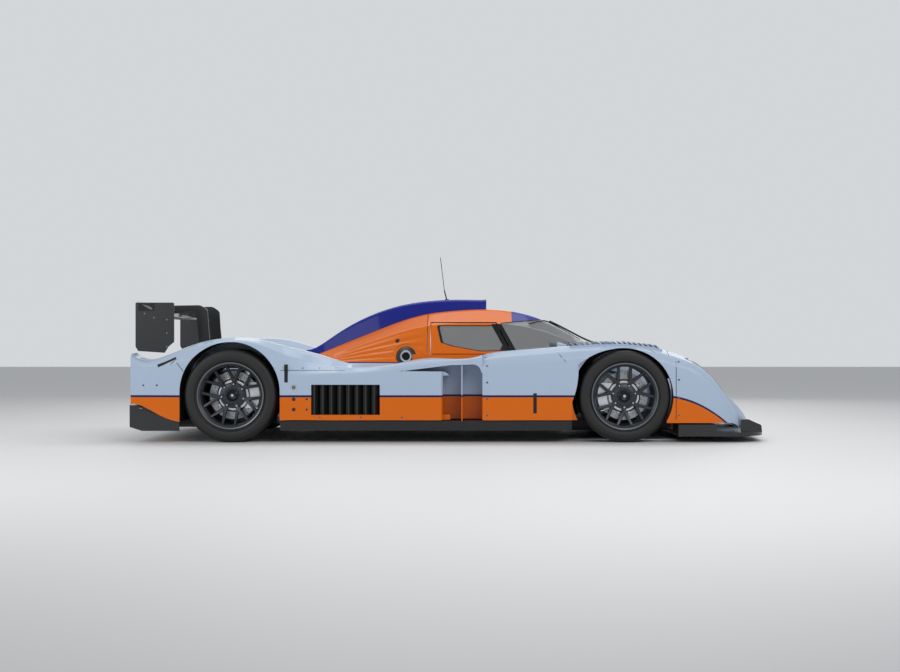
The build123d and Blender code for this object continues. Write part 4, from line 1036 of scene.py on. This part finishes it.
# Diodes in rows on a rear face: x, the first and last (y, z), columns and rows
def diodeRows(x, first, last, columns, rows, radius, height, steps):
    shapes = []
    for row in range(rows):
        for column in range(columns):
            y = first[0] + (last[0] - first[0]) * column / (columns - 1)
            z = first[1] + (last[1] - first[1]) * row / (rows - 1)
            shapes.append(discShape((x, y, z), (-1, 0, 0), radius, height, steps))
    return shapes


lampDiodes = diodeRows(-2.3405, (-0.812, 0.532), (-0.908, 0.573), 6, 3, 0.006, 0.0012, 14)
dressBoth("tail_lamp_diodes", lampDiodes, redDiode)

# Mesh over the air outlets in the ends of the rear fenders, below the lamps
outlet = {
    "x": -2.334, "y": (0.640, 0.930), "z": (0.375, 0.490), "columns": 24, "rows": 10, "wire": 0.0012,
    "uprightX": -2.3365, "levelX": -2.3372,
}
(y0, y1), (z0, z1) = outlet["y"], outlet["z"]
# Black box behind the mesh: painted shade standing in for the dark depth of the outlets
outletShade = boxShape((outlet["x"] - 0.0012, -y1, z0), (outlet["x"] + 0.002, -y0, z1))
dressBoth("outlet_painted_shade", [outletShade], gapBlack)
wires = []
for i in range(outlet["columns"] + 1):
    y = y0 + (y1 - y0) * i / outlet["columns"]
    wires.append(tubeShape([(outlet["uprightX"], -y, z) for z in (z0, z1)], outlet["wire"], 6))
for i in range(outlet["rows"] + 1):
    z = z0 + (z1 - z0) * i / outlet["rows"]
    wires.append(tubeShape([(outlet["levelX"], -y, z) for y in (y0, y1)], outlet["wire"], 6))
dressBoth("outlet_mesh", wires, armSteel, 60)

# Rain light on the end of the gearbox
rainLight = {"half": 0.060, "z": (0.395, 0.450), "depth": 0.030}
(z0, z1), gearboxEnd = rainLight["z"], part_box("powertrain")[0][0]
lightFace = gearboxEnd - rainLight["depth"]
lightBox = boxShape((lightFace, -rainLight["half"], z0), (gearboxEnd + 0.004, rainLight["half"], z1))
dress("rain_light_box", [lightBox], blackPlastic, 30, 0.003)
rainDiodes = diodeRows(lightFace, (-0.045, 0.408), (0.045, 0.437), 7, 3, 0.005, 0.002, 12)
dress("rain_light_diodes", rainDiodes, redDiode)

# Cockpit: harness over the seat shell, pads, buttons on the steering wheel and the dashboard's display
cockpit = {
    "driverY": -0.205, "strapHalf": 0.024, "strapThick": 0.0015, "strapY": 0.075,
    # x, z and how far in from strapY, from the shoulder down to the buckle
    "strapRun": [
        (-0.105, 0.70, 0), (-0.055, 0.655, 0), (-0.020, 0.56, 0), (0.010, 0.42, 0.02), (0.045, 0.34, 0.05),
    ],
    "wheelFace": (0.370, 0.651), "wheelTilt": (-0.94, 0, 0.34), "buttonRing": 0.045,
}
driverY = cockpit["driverY"]


def strapShapes(path):
    # a flat band along straight runs
    shapes = []
    across = Vector((0, cockpit["strapHalf"], 0))
    for a, b in zip(path, path[1:]):
        lift = (b - a).cross(across).normalized() * cockpit["strapThick"]
        ring = [-across - lift, across - lift, across + lift, lift - across]
        shapes.append(([end + corner for end in (a, b) for corner in ring], loftFaces(4, 2)))
    return shapes


straps = []
for side in (-1, 1):
    outward = side * cockpit["strapY"]
    run = cockpit["strapRun"]
    straps += strapShapes([Vector((x, driverY + outward - side * inward, z)) for x, z, inward in run])
dress("harness_straps", straps, webbing, 60)
buckle = discShape((0.052, driverY, 0.335), (0.5, 0, 0.87), 0.032, 0.014, 28)
dress("harness_buckle", [buckle], brightMetal)
backPad = boxShape((-0.055, driverY - 0.12, 0.30), (-0.030, driverY + 0.12, 0.62))
headPad = boxShape((-0.115, driverY - 0.10, 0.665), (-0.085, driverY + 0.10, 0.735))
dress("seat_back_pad", [backPad], padFoam, 40, 0.006)
dress("head_pad", [headPad], padFoam, 40, 0.006)

tilt = Vector(cockpit["wheelTilt"])
wheelFace = Vector((cockpit["wheelFace"][0], driverY, cockpit["wheelFace"][1]))
places = ringAt(wheelFace, tilt.to_track_quat("Z", "Y"), cockpit["buttonRing"], 10)
buttons = [discShape(place, tilt, 0.006, 0.005, 14) for place in places]
joinShapes("wheel_buttons", buttons, brightMetal, "steering_wheel")
dashX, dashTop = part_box("dashboard")[0][0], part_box("dashboard")[1][2]
low = (dashX - 0.0015, driverY - 0.07, dashTop - 0.075)
high = (dashX + 0.001, driverY + 0.07, dashTop - 0.015)
dress("dash_display", [boxShape(low, high)], displayGlass)
switches = []
for row in range(2):
    for column in range(8):
        place = (dashX, -0.02 + 0.038 * column, dashTop - 0.03 - 0.035 * row)
        switches.append(discShape(place, (-1, 0, 0), 0.007, 0.010, 12))
dress("dash_switches", switches, brightMetal)
print("cockpit dressed")

# Studio: a pale floor that runs into the background, and four soft lamps
studio = {
    "floorSize": 60.0, "floor": "#E8E9EA", "backdrop": "#D3D6D9", "sky": "#F2F4F6", "skyStrength": 0.40,
    # place, target, size and power
    "lamps": {
        "key softbox": ((3.5, -6.0, 4.2), (0, 0, 0.5), (6.0, 2.5), 165.0),
        "fill softbox": ((-5.0, -5.0, 2.6), (0, 0, 0.5), (4.0, 3.0), 90.0),
        "overhead bank": ((0, 1.0, 5.0), (0, 0, 0.3), (7.0, 2.5), 125.0),
        "back softbox": ((0.5, 6.5, 3.2), (0, 0, 0.6), (7.0, 2.5), 75.0),
    },
}


def makeFloor():
    mesh = bpy.data.meshes.new("studio floor")
    half = studio["floorSize"] / 2
    corners = [(-half, -half, 0), (half, -half, 0), (half, half, 0), (-half, half, 0)]
    mesh.from_pydata(corners, [], [(0, 1, 2, 3)])
    mesh.materials.append(newMaterial("studio floor paint", studio["floor"], 0.6))
    newObject("studio floor", mesh)


def makeLamp(name, place, target, size, power):
    light = bpy.data.lights.new(name, "AREA")
    light.shape = "RECTANGLE"
    light.size, light.size_y = size
    light.energy = power
    lamp = newObject(name, light)
    lamp.location = place
    lamp.rotation_euler = (Vector(target) - Vector(place)).to_track_quat("-Z", "Y").to_euler()


def makeWorld():
    # soft sky light on the car, and an even backdrop for the camera and for reflections
    world = bpy.data.worlds.new("studio")
    bpy.context.scene.world = world
    world.use_nodes = True
    tree = world.node_tree
    sky = tree.nodes["Background"]
    sky.inputs[0].default_value = toLinear(studio["sky"])
    sky.inputs[1].default_value = studio["skyStrength"]
    ray = addNode(tree, "LightPath").outputs
    seen = mathNode(tree, "MAXIMUM", ray["Is Camera Ray"], ray["Is Glossy Ray"])
    seen = mathNode(tree, "MAXIMUM", seen, ray["Is Transmission Ray"])
    backdrop = addNode(tree, "Background", {0: studio["backdrop"], 1: 1.0})
    mixed = addNode(tree, "MixShader", {0: seen, 1: sky.outputs[0], 2: backdrop.outputs[0]})
    tree.links.new(mixed.outputs[0], tree.nodes["World Output"].inputs[0])


makeFloor()
for name, settings in studio["lamps"].items():
    makeLamp(name, *settings)
makeWorld()

# Camera: square to the right side, a little ahead of the middle, 0.74 m up; lengths and shifts in pixels
view = {"place": (0.218, -11.5, 0.7426), "width": 900, "focal": 1442, "shift": (-30, 5), "sensor": 36}
cameraData = bpy.data.cameras.new("camera")
cameraData.sensor_width = view["sensor"]
cameraData.lens = view["focal"] / view["width"] * view["sensor"]
cameraData.shift_x, cameraData.shift_y = (pixels / view["width"] for pixels in view["shift"])
camera = newObject("camera", cameraData)
camera.location = view["place"]
camera.rotation_euler = (radians(90), 0, 0)
bpy.context.scene.camera = camera
bpy.context.scene.view_settings.view_transform = "Standard"
print("studio set")
